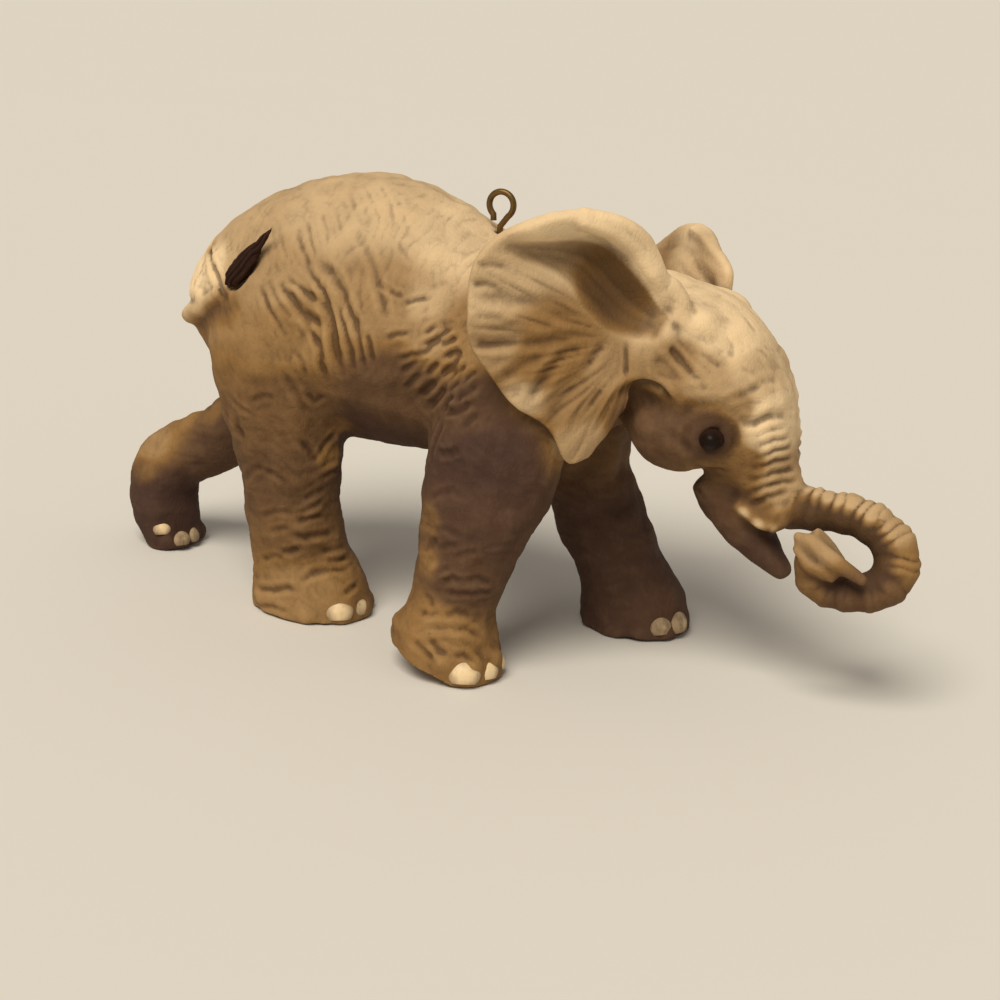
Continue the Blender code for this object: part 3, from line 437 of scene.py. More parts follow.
# Edges drawn out to a point or pushed in: casting, middle, reach and the way
DRAWN = (
    ("right_ear", (15.4, -14.1, 31.2), 3.2, (-1.1, -0.75, -1.2)),
    ("right_ear", (8.6, -18.4, 37.4), 4.0, (-0.5, -0.35, -0.9)),
    ("right_ear", (5.4, -20.6, 44.5), 4.5, (-0.5, -0.3, 0.0)),
    ("left_ear", (23.4, 9.8, 50.8), 3.0, (1.1, -0.2, 0.2)),
    ("tail", (-46.2, -3.5, 43.0), 5.0, (2.1, 0.0, 0.0)),
    ("tail", (-46.0, -5.6, 40.0), 2.2, (1.0, -0.3, -0.7)),
    ("tail", (-42.6, -8.6, 41.2), 2.0, (0.2, 0.9, 0.2)),
)

# Groups of castings
BODY = ("torso",)
LEGS = ("hind_right_leg", "hind_left_leg", "front_right_leg", "front_left_leg")
SKULL = ("head", "lower_jaw")
# How wrinkles run: castings, middle, reach, direction across them, pitch, length against pitch, depth
WRINKLES = (
    (BODY, (-22, 0, 52), (24, 30, 13), (1.0, 0.0, -0.12), 1.35, 6.0, 0.045),
    (BODY, (-12, 0, 45), (15, 30, 12), (1.0, 0.0, -0.30), 1.7, 3.2, 0.10),
    (BODY, (-19, 0, 41), (6, 30, 9), (1.0, 0.0, 0.35), 1.5, 3.0, 0.15),
    (BODY, (-2, 0, 37), (8, 30, 9), (0.7, 0.0, -0.7), 1.3, 2.6, 0.13),
    (BODY, (-13, 0, 27), (18, 30, 6), (1.0, 0.2, 0.0), 1.6, 2.0, 0.07),
    (BODY, (6, 0, 46), (9, 30, 12), (0.8, 0.0, -0.55), 1.7, 2.4, 0.09),
    (BODY, (-31, 0, 43), (11, 30, 15), (0.8, 0.3, 0.5), 1.3, 2.8, 0.07),
    (BODY, (-40, 0, 42), (6, 12, 9), (0.0, 1.0, 0.1), 1.2, 3.0, 0.07),
    (LEGS, (-20, 0, 13), (60, 40, 14), (0.1, 0.0, 1.0), 1.9, 2.6, 0.11),
    (LEGS, (-10, 0, 30), (60, 40, 14), (0.5, 0.0, 0.85), 1.6, 1.8, 0.08),
    (LEGS, (-10, 0, 20), (60, 40, 30), (0.6, 0.4, 0.6), 1.1, 1.6, 0.04),
    (SKULL, (27, 0, 40), (18, 20, 18), (0.5, 0.2, 0.8), 1.7, 1.7, 0.045),
    (SKULL, (29, 0, 46), (12, 20, 10), (0.6, 0.1, -0.8), 4.4, 1.3, 0.12),
    (SKULL, (21, 0, 38), (7, 20, 10), (0.9, 0.0, 0.4), 1.2, 2.4, 0.035),
    (SKULL, (30, 0, 26), (9, 20, 9), (0.3, 0.0, 1.0), 1.3, 2.0, 0.06),
    (("tail",), (-38, -8, 44), (20, 20, 20), (0.3, 0.6, 0.7), 0.9, 2.4, 0.05),
    (("torso", "head", "tail", *LEGS), (0, 0, 30), (90, 90, 90), (0.7, 0.5, 0.5), 0.85, 1.3, 0.026),
)
WRINKLE_CORE = 1.7
# No wrinkles lie on the eyes and the soles: where they begin, and the run to their full depth
EYE_CALM = (1.9, 1.2)
SOLE_CALM = (0, 1.2)

# Broad lumps all over, and smaller ones on the legs
LUMP_PITCH = 5.0
LUMP_DEPTH = 0.34
LEG_LUMP_PITCH = 3.1
LEG_LUMP_DEPTH = 0.20

# The trunk's middle line from its root to its tip: ahead and up from the root, and aside, as shares
TRUNK_ROOT = (37.41, 25.95)
TRUNK_SPREAD = (10.8, 5.0, 10.0)
TRUNK_LINE = tuple(
    (TRUNK_ROOT[0] + along * TRUNK_SPREAD[0], -shift * TRUNK_SPREAD[1], TRUNK_ROOT[1] + up * TRUNK_SPREAD[2])
    for along, up, shift in (
        (0.0, 0.0, 0.0), (0.20, -0.095, 0.0), (0.52, -0.085, 0.02), (0.87, -0.065, 0.08),
        (1.20, -0.15, 0.18), (1.435, -0.375, 0.31), (1.465, -0.665, 0.45), (1.32, -0.865, 0.57),
        (1.09, -0.935, 0.68), (0.84, -0.945, 0.79), (0.645, -0.87, 0.89), (0.575, -0.70, 0.97),
        (0.665, -0.52, 1.0), (0.80, -0.37, 1.0),
    )
)
CURL_MIDDLE = (48.3, -2.6, 20.8)
# The trunk's rings: pitch, how they wander, how puffy they are, and their height
TRUNK_RING_PITCH = 1.45
RING_WANDER_PITCH = 3.0
RING_WANDER = 0.55
RING_PUFF = 0.8
RING_BASE = 0.6
RING_HEIGHT = 0.26
RING_CREASE = 0.06

# Paint: place, reach, and tone from 0, the legs' brown, through 0.5, the flank's, to 1, the back's
# The tones are partly the paint's own and partly painted light: paler as painted light on the back, brow and
# ears' rolled rims, where tones above 1 are painted highlights, and darker as painted shade on the legs,
# belly, jaw, under the trunk's curl and in hollows round the eyes and temples
TONES = (
    ((-15, -3.8, 58), 9, 0.88), ((-6, -3.8, 55.0), 8, 1.0), ((-24, -5, 57.5), 8, 0.83),
    ((-33, -5, 54), 7, 0.76), ((-12, -14.5, 46), 6, 0.60), ((-9.5, -14.5, 35), 6, 0.12),
    ((-14, -7.6, 26), 8, 0.0), ((-25, -15.5, 40.4), 7, 0.54), ((-27, -14.5, 46), 6, 0.64),
    ((-33.6, -9, 50), 6, 0.75), ((-24, -14.7, 30), 6, 0.24), ((-18.6, -10.5, 27), 2.5, 0.45),
    ((-25, -12, 20), 6, 0.16), ((-20.6, -9.8, 23), 2.4, 0.50), ((-24, -11, 5), 4.5, 0.55),
    ((-24, -11, 12), 4.5, 0.26), ((0, -13.4, 42.6), 5, 0.54), ((-5, -14.6, 42.6), 3.5, 0.62),
    ((-6.6, -13.4, 46.4), 3.2, 0.80), ((2.2, -17.3, 35), 5, 0.06), ((4.6, -18.8, 29.4), 6, -0.03),
    ((4.1, -19.4, 21.8), 6, 0.02), ((-1.5, -18.6, 20.5), 2.2, 0.30), ((-1.0, -19, 15), 2.0, 0.42),
    ((3.5, -19.5, 14), 5, 0.07), ((1.0, -20.5, 6.5), 4.5, 0.52), ((-4, -18.5, 5), 4, 0.42),
    ((14, 8.0, 30), 8, 0.18), ((15, 6.7, 12), 8, 0.0), ((20, 8.5, 4), 4, 0.02), ((-41, 4, 20), 7, 0.05),
    ((-53, 2, 8), 5, -0.03), ((-55.3, 2.5, 15.5), 3.5, 0.58), ((-55.0, 2.6, 11.5), 2.6, 0.30),
    ((-51, 6, 19.5), 3, 0.5), ((-45.4, 3.7, 22), 3, 0.4), ((27, -4.7, 49), 6, 1.1),
    ((31, -3.7, 47.2), 5, 1.08), ((24.5, -8, 48.5), 3, 0.95), ((25.8, -9.6, 43.7), 3, 0.58),
    ((29.2, -8.4, 41.8), 3, 0.70), ((23, -9, 40.5), 3, 0.60), ((21.8, -9.4, 37.5), 2.6, 0.16),
    ((23.5, -9.6, 34.5), 4, 0.10), ((30.8, -9.2, 34.4), 3.6, 0.08), ((34.5, -5, 42.4), 4, 0.84),
    ((33.3, -7.8, 38.4), 2.5, 0.60), ((36.6, -4.6, 36.5), 4.5, 1.12), ((38.4, -3, 29.5), 3.5, 0.68),
    ((34, -6, 31), 3, 0.40), ((31, -7, 29), 3, 0.32), ((35.9, -0.8, 23.6), 1.8, 0.95),
    ((31, -2, 22.5), 5, 0.06), ((36, -1, 20), 4, 0.0), ((43, -2, 27.5), 4, 0.80),
    ((48, -2.5, 27.3), 4.5, 0.74), ((53, -2.8, 25.6), 3.6, 0.66), ((55.3, -3.3, 21.5), 3.8, 0.50),
    ((53, -4.8, 17.3), 4, 0.17), ((48.9, -5.9, 16.0), 4, 0.12), ((43.5, -6.0, 17.2), 3, 0.31),
    ((44.8, -6.6, 22.4), 2.6, 0.64), ((12.8, -15.2, 58.6), 5, 1.15), ((20, -10, 55.5), 4, 1.1),
    ((11.2, -18.3, 44), 6, 0.50), ((5.5, -20.5, 52), 5, 0.86), ((7, -20, 45), 4, 0.66),
    ((9.2, -17.8, 38.4), 2.6, 0.92), ((14, -14.8, 37.6), 3, 0.56), ((15.2, -13.5, 32), 3, 0.70),
    ((17, -12.3, 41.5), 2.6, 0.62), ((-38, -9.5, 46), 3.5, 1.1), ((-43, -4.5, 43), 3.5, 1.2),
    ((-39, 0, 34), 6, 0.42),
)
TONE_CORE = 0.05
TONE_LIMITS = (-0.08, 1.25)
# Patches of paint that aren't mirrored: painted shadow under the tail and in its fold, and paler paint as
# painted light on its leaf, by the left ear and on the lip
PATCHES = (
    ((-38.8, -9.5, 38.3), 2.0, 0.16), ((-36.5, -12.6, 40.3), 1.5, 0.14), ((-34.2, -13.5, 41.6), 1.8, 0.22),
    ((-41.0, -6.2, 47.2), 1.0, 0.45), ((-40.6, -9.6, 43.2), 2.2, 1.25), ((-43.5, -5.5, 43.5), 2.5, 1.25),
    ((20.5, 12.5, 52.0), 3.6, 0.80), ((34.0, -4.4, 24.2), 1.1, 1.0), ((36.0, -4.3, 23.0), 1.1, 1.05),
    ((38.2, -4.2, 22.9), 1.0, 0.9),
)
# How much painted shade takes from a place's tone and from its colour
SHADE_TONE = 0.8
SHADE_COLOUR = 0.35
# Relief for the paint: rounds of evening, and the height that counts as full
FINE_ROUNDS = 5
FINE_FULL = 0.080
BROAD_ROUNDS = 60
BROAD_FULL = 0.40
# Round the eyes and on the ears the ridges are brushed less: start and run, and share
EYE_PLAIN = (1.6, 2.2)
EAR_PLAIN = 0.65

# Folds read off the right flank: width, depth (minus is a valley) and the line's points
BODY_FOLDS = (
    (0.55, -0.6, ((-20.8, -13.5, 49.4), (-18.7, -14, 48.3), (-17, -14.7, 46.6), (-15.9, -15.3, 44.6),
        (-14.7, -15.6, 42.8), (-13.7, -15.7, 41.4))),
    (0.6, -0.85, ((-25.5, -14.7, 45.7), (-23.9, -15.1, 44.5), (-22.6, -15.5, 43.1), (-20.9, -15.7, 42.4),
        (-19.1, -15.8, 41.8))),
    (0.6, -0.85, ((-19.8, -14.9, 46.2), (-19, -15.3, 44.5), (-18.1, -15.7, 42.5), (-17.5, -15.9, 40.6),
        (-16.9, -15.8, 38.6), (-16.3, -15.6, 36.5))),
    (0.45, -0.5, ((-17.5, -15.2, 45.3), (-16.7, -15.6, 43.2), (-15.6, -15.9, 41.4), (-14.8, -15.9, 39.5),
        (-14.3, -15.8, 37.5))),
    (0.45, -0.45, ((-15.3, -15.6, 43), (-14.2, -15.8, 41.2), (-13.5, -15.8, 39.4), (-13, -15.7, 37.4))),
    (0.4, -0.4, ((-13.1, -15.6, 41.8), (-12.4, -15.7, 40.4), (-11.9, -15.7, 38.6))),
    (0.5, -0.42, ((-17.2, -10.9, 53.2), (-15.4, -12, 51.6), (-13.7, -13, 49.7), (-12.6, -13.8, 47.8),
        (-11.5, -14.5, 45.9), (-10.6, -15, 43.8))),
    (0.35, -0.32, ((-25.9, -10.8, 52.6), (-24.4, -12.3, 50.9), (-22.8, -13.5, 49.1), (-21.2, -14.3, 47.6),
        (-19.7, -14.9, 46.2))),
    (0.3, -0.28, ((-24.5, -10.5, 53.3), (-23.2, -11.9, 51.6), (-21.8, -13.2, 50))),
    (0.3, -0.28, ((-23.1, -9.4, 54.6), (-21.5, -11.1, 53), (-20.4, -12.4, 51.3))),
    (0.35, -0.3, ((-23.8, -13.5, 49), (-21.8, -14.3, 47.6), (-19.8, -14.9, 46.2), (-19, -15.3, 44.7))),
    (0.4, -0.4, ((-25, -14.3, 46.8), (-22.6, -14.9, 45.8), (-20.4, -15.2, 44.8), (-19.1, -15.5, 43.6))),
    (0.5, -0.55, ((-19.9, -15.8, 40.7), (-19.2, -15.8, 39.1), (-19.1, -15.8, 37.2), (-18.6, -15.2, 35.1))),
    (0.35, -0.38, ((-21.8, -15.8, 42), (-20.6, -15.8, 40.8), (-19.7, -15.8, 39.2))),
    (0.35, -0.28, ((-27.4, -14.3, 46), (-26.2, -14.8, 44.5), (-24.4, -15.3, 43), (-22.9, -15.7, 41.8))),
    (0.35, -0.26, ((-28.7, -14.3, 45.1), (-27.4, -14.9, 43.4), (-25.8, -15.4, 41.8), (-24.4, -15.6, 40.1))),
    (0.35, -0.22, ((-28.5, -10.4, 52.2), (-27, -12.2, 50.3), (-25.4, -13.4, 48.7))),
    (0.3, -0.2, ((-21.7, -8.4, 55.6), (-20.2, -10.2, 54), (-18.6, -11.5, 52.4))),
    (0.3, -0.2, ((-20.7, -6.5, 57), (-18.6, -8.7, 55.4), (-16.7, -10.4, 53.8))),
    (0.3, -0.2, ((-19.7, -4.7, 57.9), (-16.8, -7.5, 56.3), (-15, -9.2, 54.6))),
    (0.3, -0.22, ((-18.4, -3.4, 58.5), (-15.5, -6.2, 56.9), (-13.3, -8.6, 54.7))),
    (0.3, -0.18, ((-15, -5.1, 57.3), (-12.8, -7.4, 55.6), (-10.9, -9.1, 53.6))),
    (0.3, -0.18, ((-12.5, -10, 53.3), (-10.7, -11, 51.7), (-9.4, -11.3, 50.7))),
    (0.35, -0.25, ((-12.4, -13.7, 47.9), (-10.7, -13.8, 47.1), (-9.1, -13.7, 46.7))),
    (0.5, -0.75, ((-5.5, -14.8, 41.1), (-4.2, -14.3, 42.1), (-3.3, -13.9, 43.1), (-2.7, -13.3, 44.1))),
    (0.4, -0.6, ((-3.6, -14.3, 41.6), (-2.5, -13.9, 42.2), (-1.7, -13.6, 42.8))),
    (0.45, -0.65, ((-2.5, -14.4, 40.2), (-1.6, -14.1, 40.9), (-0.7, -14, 41.1))),
    (0.38, -0.5, ((-4.8, -14.9, 37.6), (-4.2, -14.8, 38.6), (-3.4, -14.7, 39.3))),
    (0.42, -0.65, ((-3.2, -14.7, 37.8), (-2.4, -14.6, 38.6), (-1.7, -14.5, 39.3), (-0.9, -14.2, 40.5))),
    (0.38, -0.45, ((-1.6, -14.7, 38.3), (-0.7, -14.6, 39.1), (0.2, -14.7, 39.6))),
    (0.5, -0.75, ((-5.8, -14.6, 34.5), (-5, -14.8, 35.5), (-4.3, -14.8, 36.4), (-3.6, -14.7, 37))),
    (0.36, -0.45, ((-1.6, -15.5, 36.3), (-0.9, -15.5, 37.1), (-0.1, -15.4, 37.7))),
    (0.45, -0.65, ((-5.1, -14.3, 33.4), (-4, -14.7, 34.5), (-3.2, -14.9, 35.4), (-2.4, -14.9, 36.5))),
    (0.4, -0.55, ((-2.3, -15.8, 34.1), (-1.5, -16, 35.1), (-0.7, -16, 36))),
    (0.45, -0.5, ((0.1, -16.6, 35.5), (0.7, -16.4, 36.3), (1.7, -16.4, 37.1), (2.5, -16.1, 38))),
    (0.4, -0.45, ((0.7, -15.6, 38.1), (1.4, -15.4, 39), (2.1, -15.3, 39.4))),
    (0.38, -0.4, ((-8.6, -15.5, 39.4), (-6.9, -15.3, 40), (-5.4, -14.9, 40.5), (-4, -14.5, 41.1))),
    (0.45, -0.5, ((-1.4, -16.2, 33.9), (0.3, -17, 34.5), (1.3, -17.1, 35.2), (2, -16.8, 36.1))),
    (0.4, -0.45, ((-5.7, -14.5, 42.5), (-4.8, -14.2, 43.3), (-4, -13.7, 43.8), (-3.3, -13.2, 44.6))),
    (0.35, -0.3, ((-8.9, -14, 46), (-7.7, -13.5, 46.5), (-6.2, -12.9, 46.9))),
    (0.35, -0.3, ((-10.4, -15.4, 41.6), (-9, -15.1, 42.3), (-7.5, -14.8, 42.6))),
    (0.35, -0.3, ((-8.3, -15.4, 37.6), (-7, -15.3, 38.6), (-6.1, -15.1, 39.7))),
    (0.35, -0.3, ((-7.8, -15, 35.3), (-6.7, -15.1, 36.6), (-5.7, -15, 38))),
)
# Folds of the head, brow and trunk bridge
HEAD_FOLDS = (
    (0.7, -0.55, ((21.1, -10.9, 56.9), (21.7, -9.9, 55.4))),
    (0.6, -0.18, ((23.1, -8.8, 47.6), (25.2, -8.8, 46.8), (27.1, -8.4, 46.4), (28.8, -7.5, 46.2),
        (29.8, -5.9, 46.8))),
    (0.46, -0.85, ((23.6, -9.5, 45), (25.2, -9.6, 44), (26.6, -9.7, 42.9), (27.8, -9.5, 41.8))),
    (0.45, -0.3, ((27.5, -9.8, 42.1), (28.5, -9.7, 41.5), (29.4, -9.6, 40.1))),
    (0.7, -0.55, ((26.5, -9.8, 36.9), (28.1, -9.8, 38.2), (30, -9.5, 38.7), (31.6, -8.9, 38.5),
        (32.9, -8.2, 37.8))),
    (0.45, -0.35, ((31.3, -9, 39.1), (32.8, -8.3, 39.8), (34, -6.8, 40.4), (35.4, -5, 40.7))),
    (0.45, -0.3, ((34.1, -6.6, 40.7), (35.1, -5, 41.4), (36.2, -2.7, 41.3))),
    (0.55, -0.5, ((33.7, -7.7, 36.4), (35.2, -6.5, 36.4), (36.4, -5.1, 37.2), (37.7, -2.6, 36.9))),
    (0.4, -0.25, ((32.5, -6.8, 43.2), (33.4, -6.4, 42.5), (34.2, -5.7, 42.3))),
    (0.4, -0.22, ((33.1, -4.4, 44.8), (34, -3.2, 44.5), (34.9, -2.5, 43.7))),
    (0.4, -0.22, ((30.6, -1.6, 47.9), (31.6, -2, 47.1), (32.7, -2, 46.3))),
    (0.4, -0.25, ((27.9, -8.7, 44.6), (29.4, -8.5, 43.8), (30.6, -8.2, 43.2))),
    (0.4, -0.22, ((30.1, -6, 46.4), (31, -6.2, 45.4), (31.4, -7, 44.1))),
    (0.6, -0.3, ((35.3, -6.4, 36.2), (35.6, -6, 33.6), (35.4, -5.5, 30.4), (34.7, -4.5, 27.4))),
    (0.36, -0.3, ((35.4, -6.3, 35.1), (36.7, -4.9, 35.7), (37.9, -2.8, 35.6))),
    (0.36, -0.38, ((35.5, -6.1, 33.6), (37.1, -4.7, 34.3), (38.4, -2.2, 34.3))),
    (0.36, -0.42, ((35.6, -5.8, 32), (37.2, -4.5, 32.9), (38.6, -1.8, 33))),
    (0.36, -0.4, ((35.4, -5.6, 30.7), (37.4, -4.3, 31.6), (38.9, -1.4, 31.6))),
    (0.42, -0.55, ((35, -5.1, 28.8), (37.2, -4.4, 29.9), (39.2, -1.3, 30))),
    (0.42, -0.55, ((34.2, -4, 26.7), (36.4, -4.6, 28.3), (38.5, -3.1, 28.9), (39.6, -0.9, 28.7))),
    (0.4, -0.4, ((35, -3.4, 25.5), (36.9, -4, 26.8), (38.8, -3, 27.5))),
    (0.4, -0.35, ((27.7, -3.7, 26.2), (29, -3.9, 24.9))),
    (0.7, -0.7, ((19.1, -12, 38.2), (20.3, -10.9, 39.4), (21.9, -9.9, 39.9), (23.8, -10.1, 39.5),
        (25, -9.9, 38))),
    (0.5, -0.3, ((25.3, -10.3, 34.8), (26.9, -10.2, 33.8), (28.6, -9.5, 32.4))),
    (0.45, -0.3, ((28.3, -8.9, 31), (29.5, -5, 29.4), (32, -5.6, 29.8))),
    (0.45, -0.25, ((27.9, -9.8, 35.8), (27.4, -10.1, 34.3), (27.7, -9.8, 32.6))),
    (0.45, -0.25, ((32.7, -8.2, 36.2), (33.3, -7.6, 34.7), (33.1, -7.1, 32.9))),
    (0.3, -0.24, ((19.7, -11.2, 40.6), (19.7, -11.2, 42.6), (19.4, -11.4, 44.7))),
)
# Folds of the two near legs
LEG_FOLDS = (
    (0.5, -0.55, ((-24.5, -12, 12.4), (-22.8, -11.1, 11.9), (-21.5, -9.9, 12.1), (-20.5, -7.8, 12.1))),
    (0.4, -0.45, ((-23.5, -11.8, 14.2), (-22.3, -10.9, 14.6), (-21, -9.2, 14.9))),
    (0.4, -0.5, ((-23.3, -11.8, 15.2), (-22.1, -11, 16), (-21, -9.6, 16.9))),
    (0.4, -0.35, ((-22.9, -11.9, 17.2), (-21.8, -11, 18), (-20.8, -9.5, 18.5))),
    (0.45, -0.55, ((-25.9, -12, 9.5), (-24.6, -11.8, 9.6), (-23.4, -11.3, 10.3))),
    (0.38, -0.4, ((-20.5, -9.3, 8.3), (-19.5, -7.7, 8.1), (-19.1, -5.5, 8.3))),
    (0.38, -0.35, ((-21, -9.5, 9.7), (-20, -7.9, 9.8), (-19.7, -5.6, 9.6))),
    (0.4, -0.45, ((-18.1, -8.6, 4), (-17.6, -7.5, 4.5), (-17.3, -6, 4.8))),
    (0.45, -0.45, ((-30.1, -10.1, 2.9), (-27.1, -11.6, 3.7), (-24.9, -11.8, 4.5), (-23.2, -11.7, 4.5))),
    (0.4, -0.4, ((-30.3, -10.2, 0.6), (-26.9, -11.9, 1.4), (-24, -12.3, 1.4))),
    (0.45, -0.4, ((-23.1, -11.4, 5.6), (-21.7, -10.7, 6.8), (-20, -9, 7.3), (-18.6, -6.9, 6.9))),
    (0.45, -0.5, ((-22.8, -13.5, 25.8), (-21.9, -12.4, 24.3), (-21.3, -11.3, 22.4))),
    (0.45, -0.55, ((-21.2, -11.2, 23.1), (-20.8, -10.9, 24.4), (-20.1, -10.1, 25.7), (-19.6, -9.7, 26.5))),
    (0.45, -0.45, ((-21, -10.3, 20.2), (-20.4, -8.8, 20.7), (-20.3, -7.3, 21.2))),
    (0.4, -0.35, ((-28, -14, 20.9), (-26.1, -13.8, 20.7), (-24.9, -13.3, 19.7))),
    (0.4, -0.35, ((-28.6, -12.5, 14.1), (-26.6, -12.8, 15.1), (-24.5, -12.3, 15.4))),
    (0.4, -0.35, ((-27.7, -12.3, 12.2), (-26.1, -12.4, 12.6), (-24.5, -12.1, 13.4))),
    (0.4, -0.3, ((-29.1, -11.1, 7.4), (-26.9, -11.9, 8.6), (-25.1, -11.8, 8.7))),
    (0.45, -0.35, ((-31.3, -12.2, 18.8), (-29.7, -13.5, 20.5), (-27.9, -14.1, 21.5))),
    (0.45, -0.3, ((-30.5, -14.5, 24.7), (-31.4, -14.5, 26.1), (-31.5, -14.9, 28.1))),
    (0.5, -0.35, ((-24.6, -15.4, 35), (-23.6, -14.9, 33.4), (-22.6, -14.3, 31.6), (-21.9, -13.4, 29.7))),
    (0.4, -0.35, ((-22.7, -15.7, 37.9), (-21.6, -15.6, 36.8), (-21.5, -15.1, 35.1))),
    (0.4, -0.35, ((-21.8, -14.3, 32.5), (-21, -13.5, 31.2), (-19.7, -14, 32))),
    (0.4, -0.3, ((-29.1, -15.7, 30.3), (-27.3, -15.8, 31.4), (-25.5, -15.5, 31.4))),
    (0.4, -0.3, ((-32.1, -15.1, 30.2), (-30.7, -15.4, 29.2), (-28.8, -15.6, 28.7))),
    (0.45, -0.55, ((-2.9, -16.6, 28), (-2.4, -16.8, 29.7), (-1.8, -16.9, 31.7), (-1.5, -16.7, 32.9))),
    (0.45, -0.5, ((-1.3, -17.6, 29.1), (0.4, -18.2, 29.4), (1.7, -18.4, 30.3))),
    (0.4, -0.35, ((1.6, -18, 32.8), (2.5, -17.7, 33.9), (3.4, -17.5, 34.7))),
    (0.45, -0.45, ((-1.4, -20.9, 6.5), (0.5, -20.8, 7.2), (2.4, -20.3, 7.5), (4.4, -19.1, 7.4),
        (5.9, -17.7, 6.2))),
    (0.4, -0.4, ((1.1, -19.7, 13.1), (2.3, -19.7, 14), (3.6, -19.3, 13.7))),
    (0.4, -0.38, ((1.9, -19.7, 12), (3.3, -19.3, 11.9), (4.6, -18.6, 12.2))),
    (0.4, -0.3, ((-0.8, -19.4, 13.6), (0.6, -19.6, 14.6), (1.9, -19.7, 15.3))),
    (0.4, -0.3, ((2.5, -19.7, 16.9), (3.9, -19.5, 17.5), (5.3, -19, 17.8))),
    (0.4, -0.3, ((0.4, -19.5, 17.5), (1.5, -19.6, 18.1), (2.8, -19.6, 18.2))),
    (0.4, -0.35, ((3.8, -19.3, 13.9), (5.3, -18.5, 14.1), (6.5, -16.9, 13.4))),
    (0.4, -0.35, ((4.2, -18.9, 11.7), (5.4, -17.9, 12.2), (6.4, -16.4, 11.9))),
    (0.45, -0.4, ((-1.8, -21.1, 5.3), (-0.1, -21.5, 4.5), (1.4, -21.7, 3.5))),
    (0.45, -0.35, ((0.5, -21.2, 5.8), (1.7, -21.3, 4.8), (3, -21, 4.3))),
    (0.4, -0.35, ((3.4, -20.8, 4.2), (4.7, -20, 4.3), (5.9, -19.6, 3.8), (6.6, -19.1, 3.2))),
    (0.4, -0.3, ((-1.9, -19.9, 8.6), (-0.1, -20.2, 8.8), (1.6, -20, 9.4))),
    (0.4, -0.3, ((1.7, -20.1, 8.9), (3.1, -19.5, 9.6), (4.5, -18.5, 9.3))),
    (0.4, -0.25, ((-2, -18, 22.8), (-0.5, -18.6, 24.3), (1.3, -19, 25), (3.1, -19.3, 24.4))),
    (0.4, -0.25, ((-1.1, -18.9, 19.3), (1, -19.5, 20.2), (3, -19.6, 19.8))),
    (0.4, -0.25, ((-2.3, -18.4, 16.1), (-1.3, -19, 17.2), (-0.4, -19.2, 18.8))),
    (0.45, -0.3, ((-1.5, -19.3, 11.2), (-0.4, -19.9, 10.5), (0.3, -20.1, 9.4))),
)
# The share of its depth that each kind of fold is cut to, and of its width
BODY_FOLD_DEPTH = 0.72
HEAD_FOLD_DEPTH = 0.46
LEG_FOLD_DEPTH = 0.5
FOLD_BREADTH = 1.1
# Folds run over the ears' roots only this far out and up, and fade on the back from a height over a run
EAR_ROOT_Y = 12.5
EAR_ROOT_Z = 46.5
BACK_HEIGHT = (46, 6)
BACK_CALM = 0.65

# Creases of an ear, in its own plane: width, depth, and places back from the root and up
EAR_CREASES = (
    (1, -0.45, ((-21.6, 2.9), (-18.9, 3.3), (-16.5, 2.7), (-14.1, 2), (-10.9, 1.2), (-8.4, 0))),
    (0.8, -0.35, ((-18.4, -0.7), (-16.4, 0.4), (-14.1, 0.6), (-11.8, 0.1))),
    (0.7, -0.4, ((-21.6, -2.2), (-19.7, -2.5), (-17.6, -2), (-15.8, -1.1))),
    (0.7, -0.35, ((-16.3, -3.1), (-14.4, -2.1), (-12, -1.4), (-9.5, -1.7))),
    (0.7, -0.4, ((-18.3, -6.4), (-16.7, -5.4), (-15, -4.2), (-13.3, -3.3))),
    (0.75, -0.55, ((-14.4, -9.6), (-13.5, -7.6), (-12.6, -5.7), (-11.5, -4.3), (-9.8, -3.3))),
    (0.6, -0.35, ((-12.1, -3.5), (-10.4, -3.1), (-8.4, -2.9))),
    (0.8, -0.35, ((-11.7, -13.7), (-11, -10.7), (-10, -8.6), (-8.7, -6.8))),
    (0.6, -0.3, ((-6.8, -10), (-6.3, -8.8), (-5.7, -7.6))),
    (0.6, -0.35, ((-5.8, -2.2), (-6.7, -3.4), (-7.7, -4.9))),
    (0.5, -0.25, ((-21.9, 1), (-20, 1), (-18.2, 1))),
    (0.5, -0.25, ((-22.3, 4.7), (-20.7, 4.9), (-18.9, 4.6))),
    (0.5, -0.22, ((-21.9, 7.3), (-20.3, 7.3), (-18.5, 6.9))),
)
EAR_CREASE_DEPTH = 0.85
EAR_CREASE_LIP = (1.8, 0.8, 0.4)
EAR_CREASE_ENDS = (0.25, 0.3)
# Where the ear's ridges fan out from, how close and how long they are, and their height
EAR_HINGE = (-1.2, -1.2)
FAN_CLOSE = 10.0
FAN_LONG = 9.0
FAN_HEIGHT = 0.17
# The fan's noise: its seed, how the two ears differ, and how sharp, puffy and low its ridges are
FAN_SEED = 31
FAN_SIDE = 2.3
FAN_SHARP = 3.0
FAN_PUFF = 1.25
FAN_BASE = 0.75
# Where the fan begins, a start and a run, and how it fades upwards: slant, and end, run and least
FAN_BEGINS = (4, 6)
FAN_SLANT = 0.35
FAN_FADES = (4.5, 6, 0.15)
# The hollow's middle line: place, half width and depth
EAR_HOLLOW = (
    (-18.0, 9.3, 0.8, 0.1), (-15.6, 8.9, 1.1, 0.3), (-12.7, 8.5, 1.45, 0.55), (-9.9, 7.9, 2.1, 0.95),
    (-7.6, 6.9, 2.7, 1.5), (-5.8, 5.1, 2.8, 1.9), (-4.0, 3.2, 2.8, 1.95), (-2.0, 1.6, 2.5, 1.4),
    (0.2, 0.6, 1.5, 0.6),
)
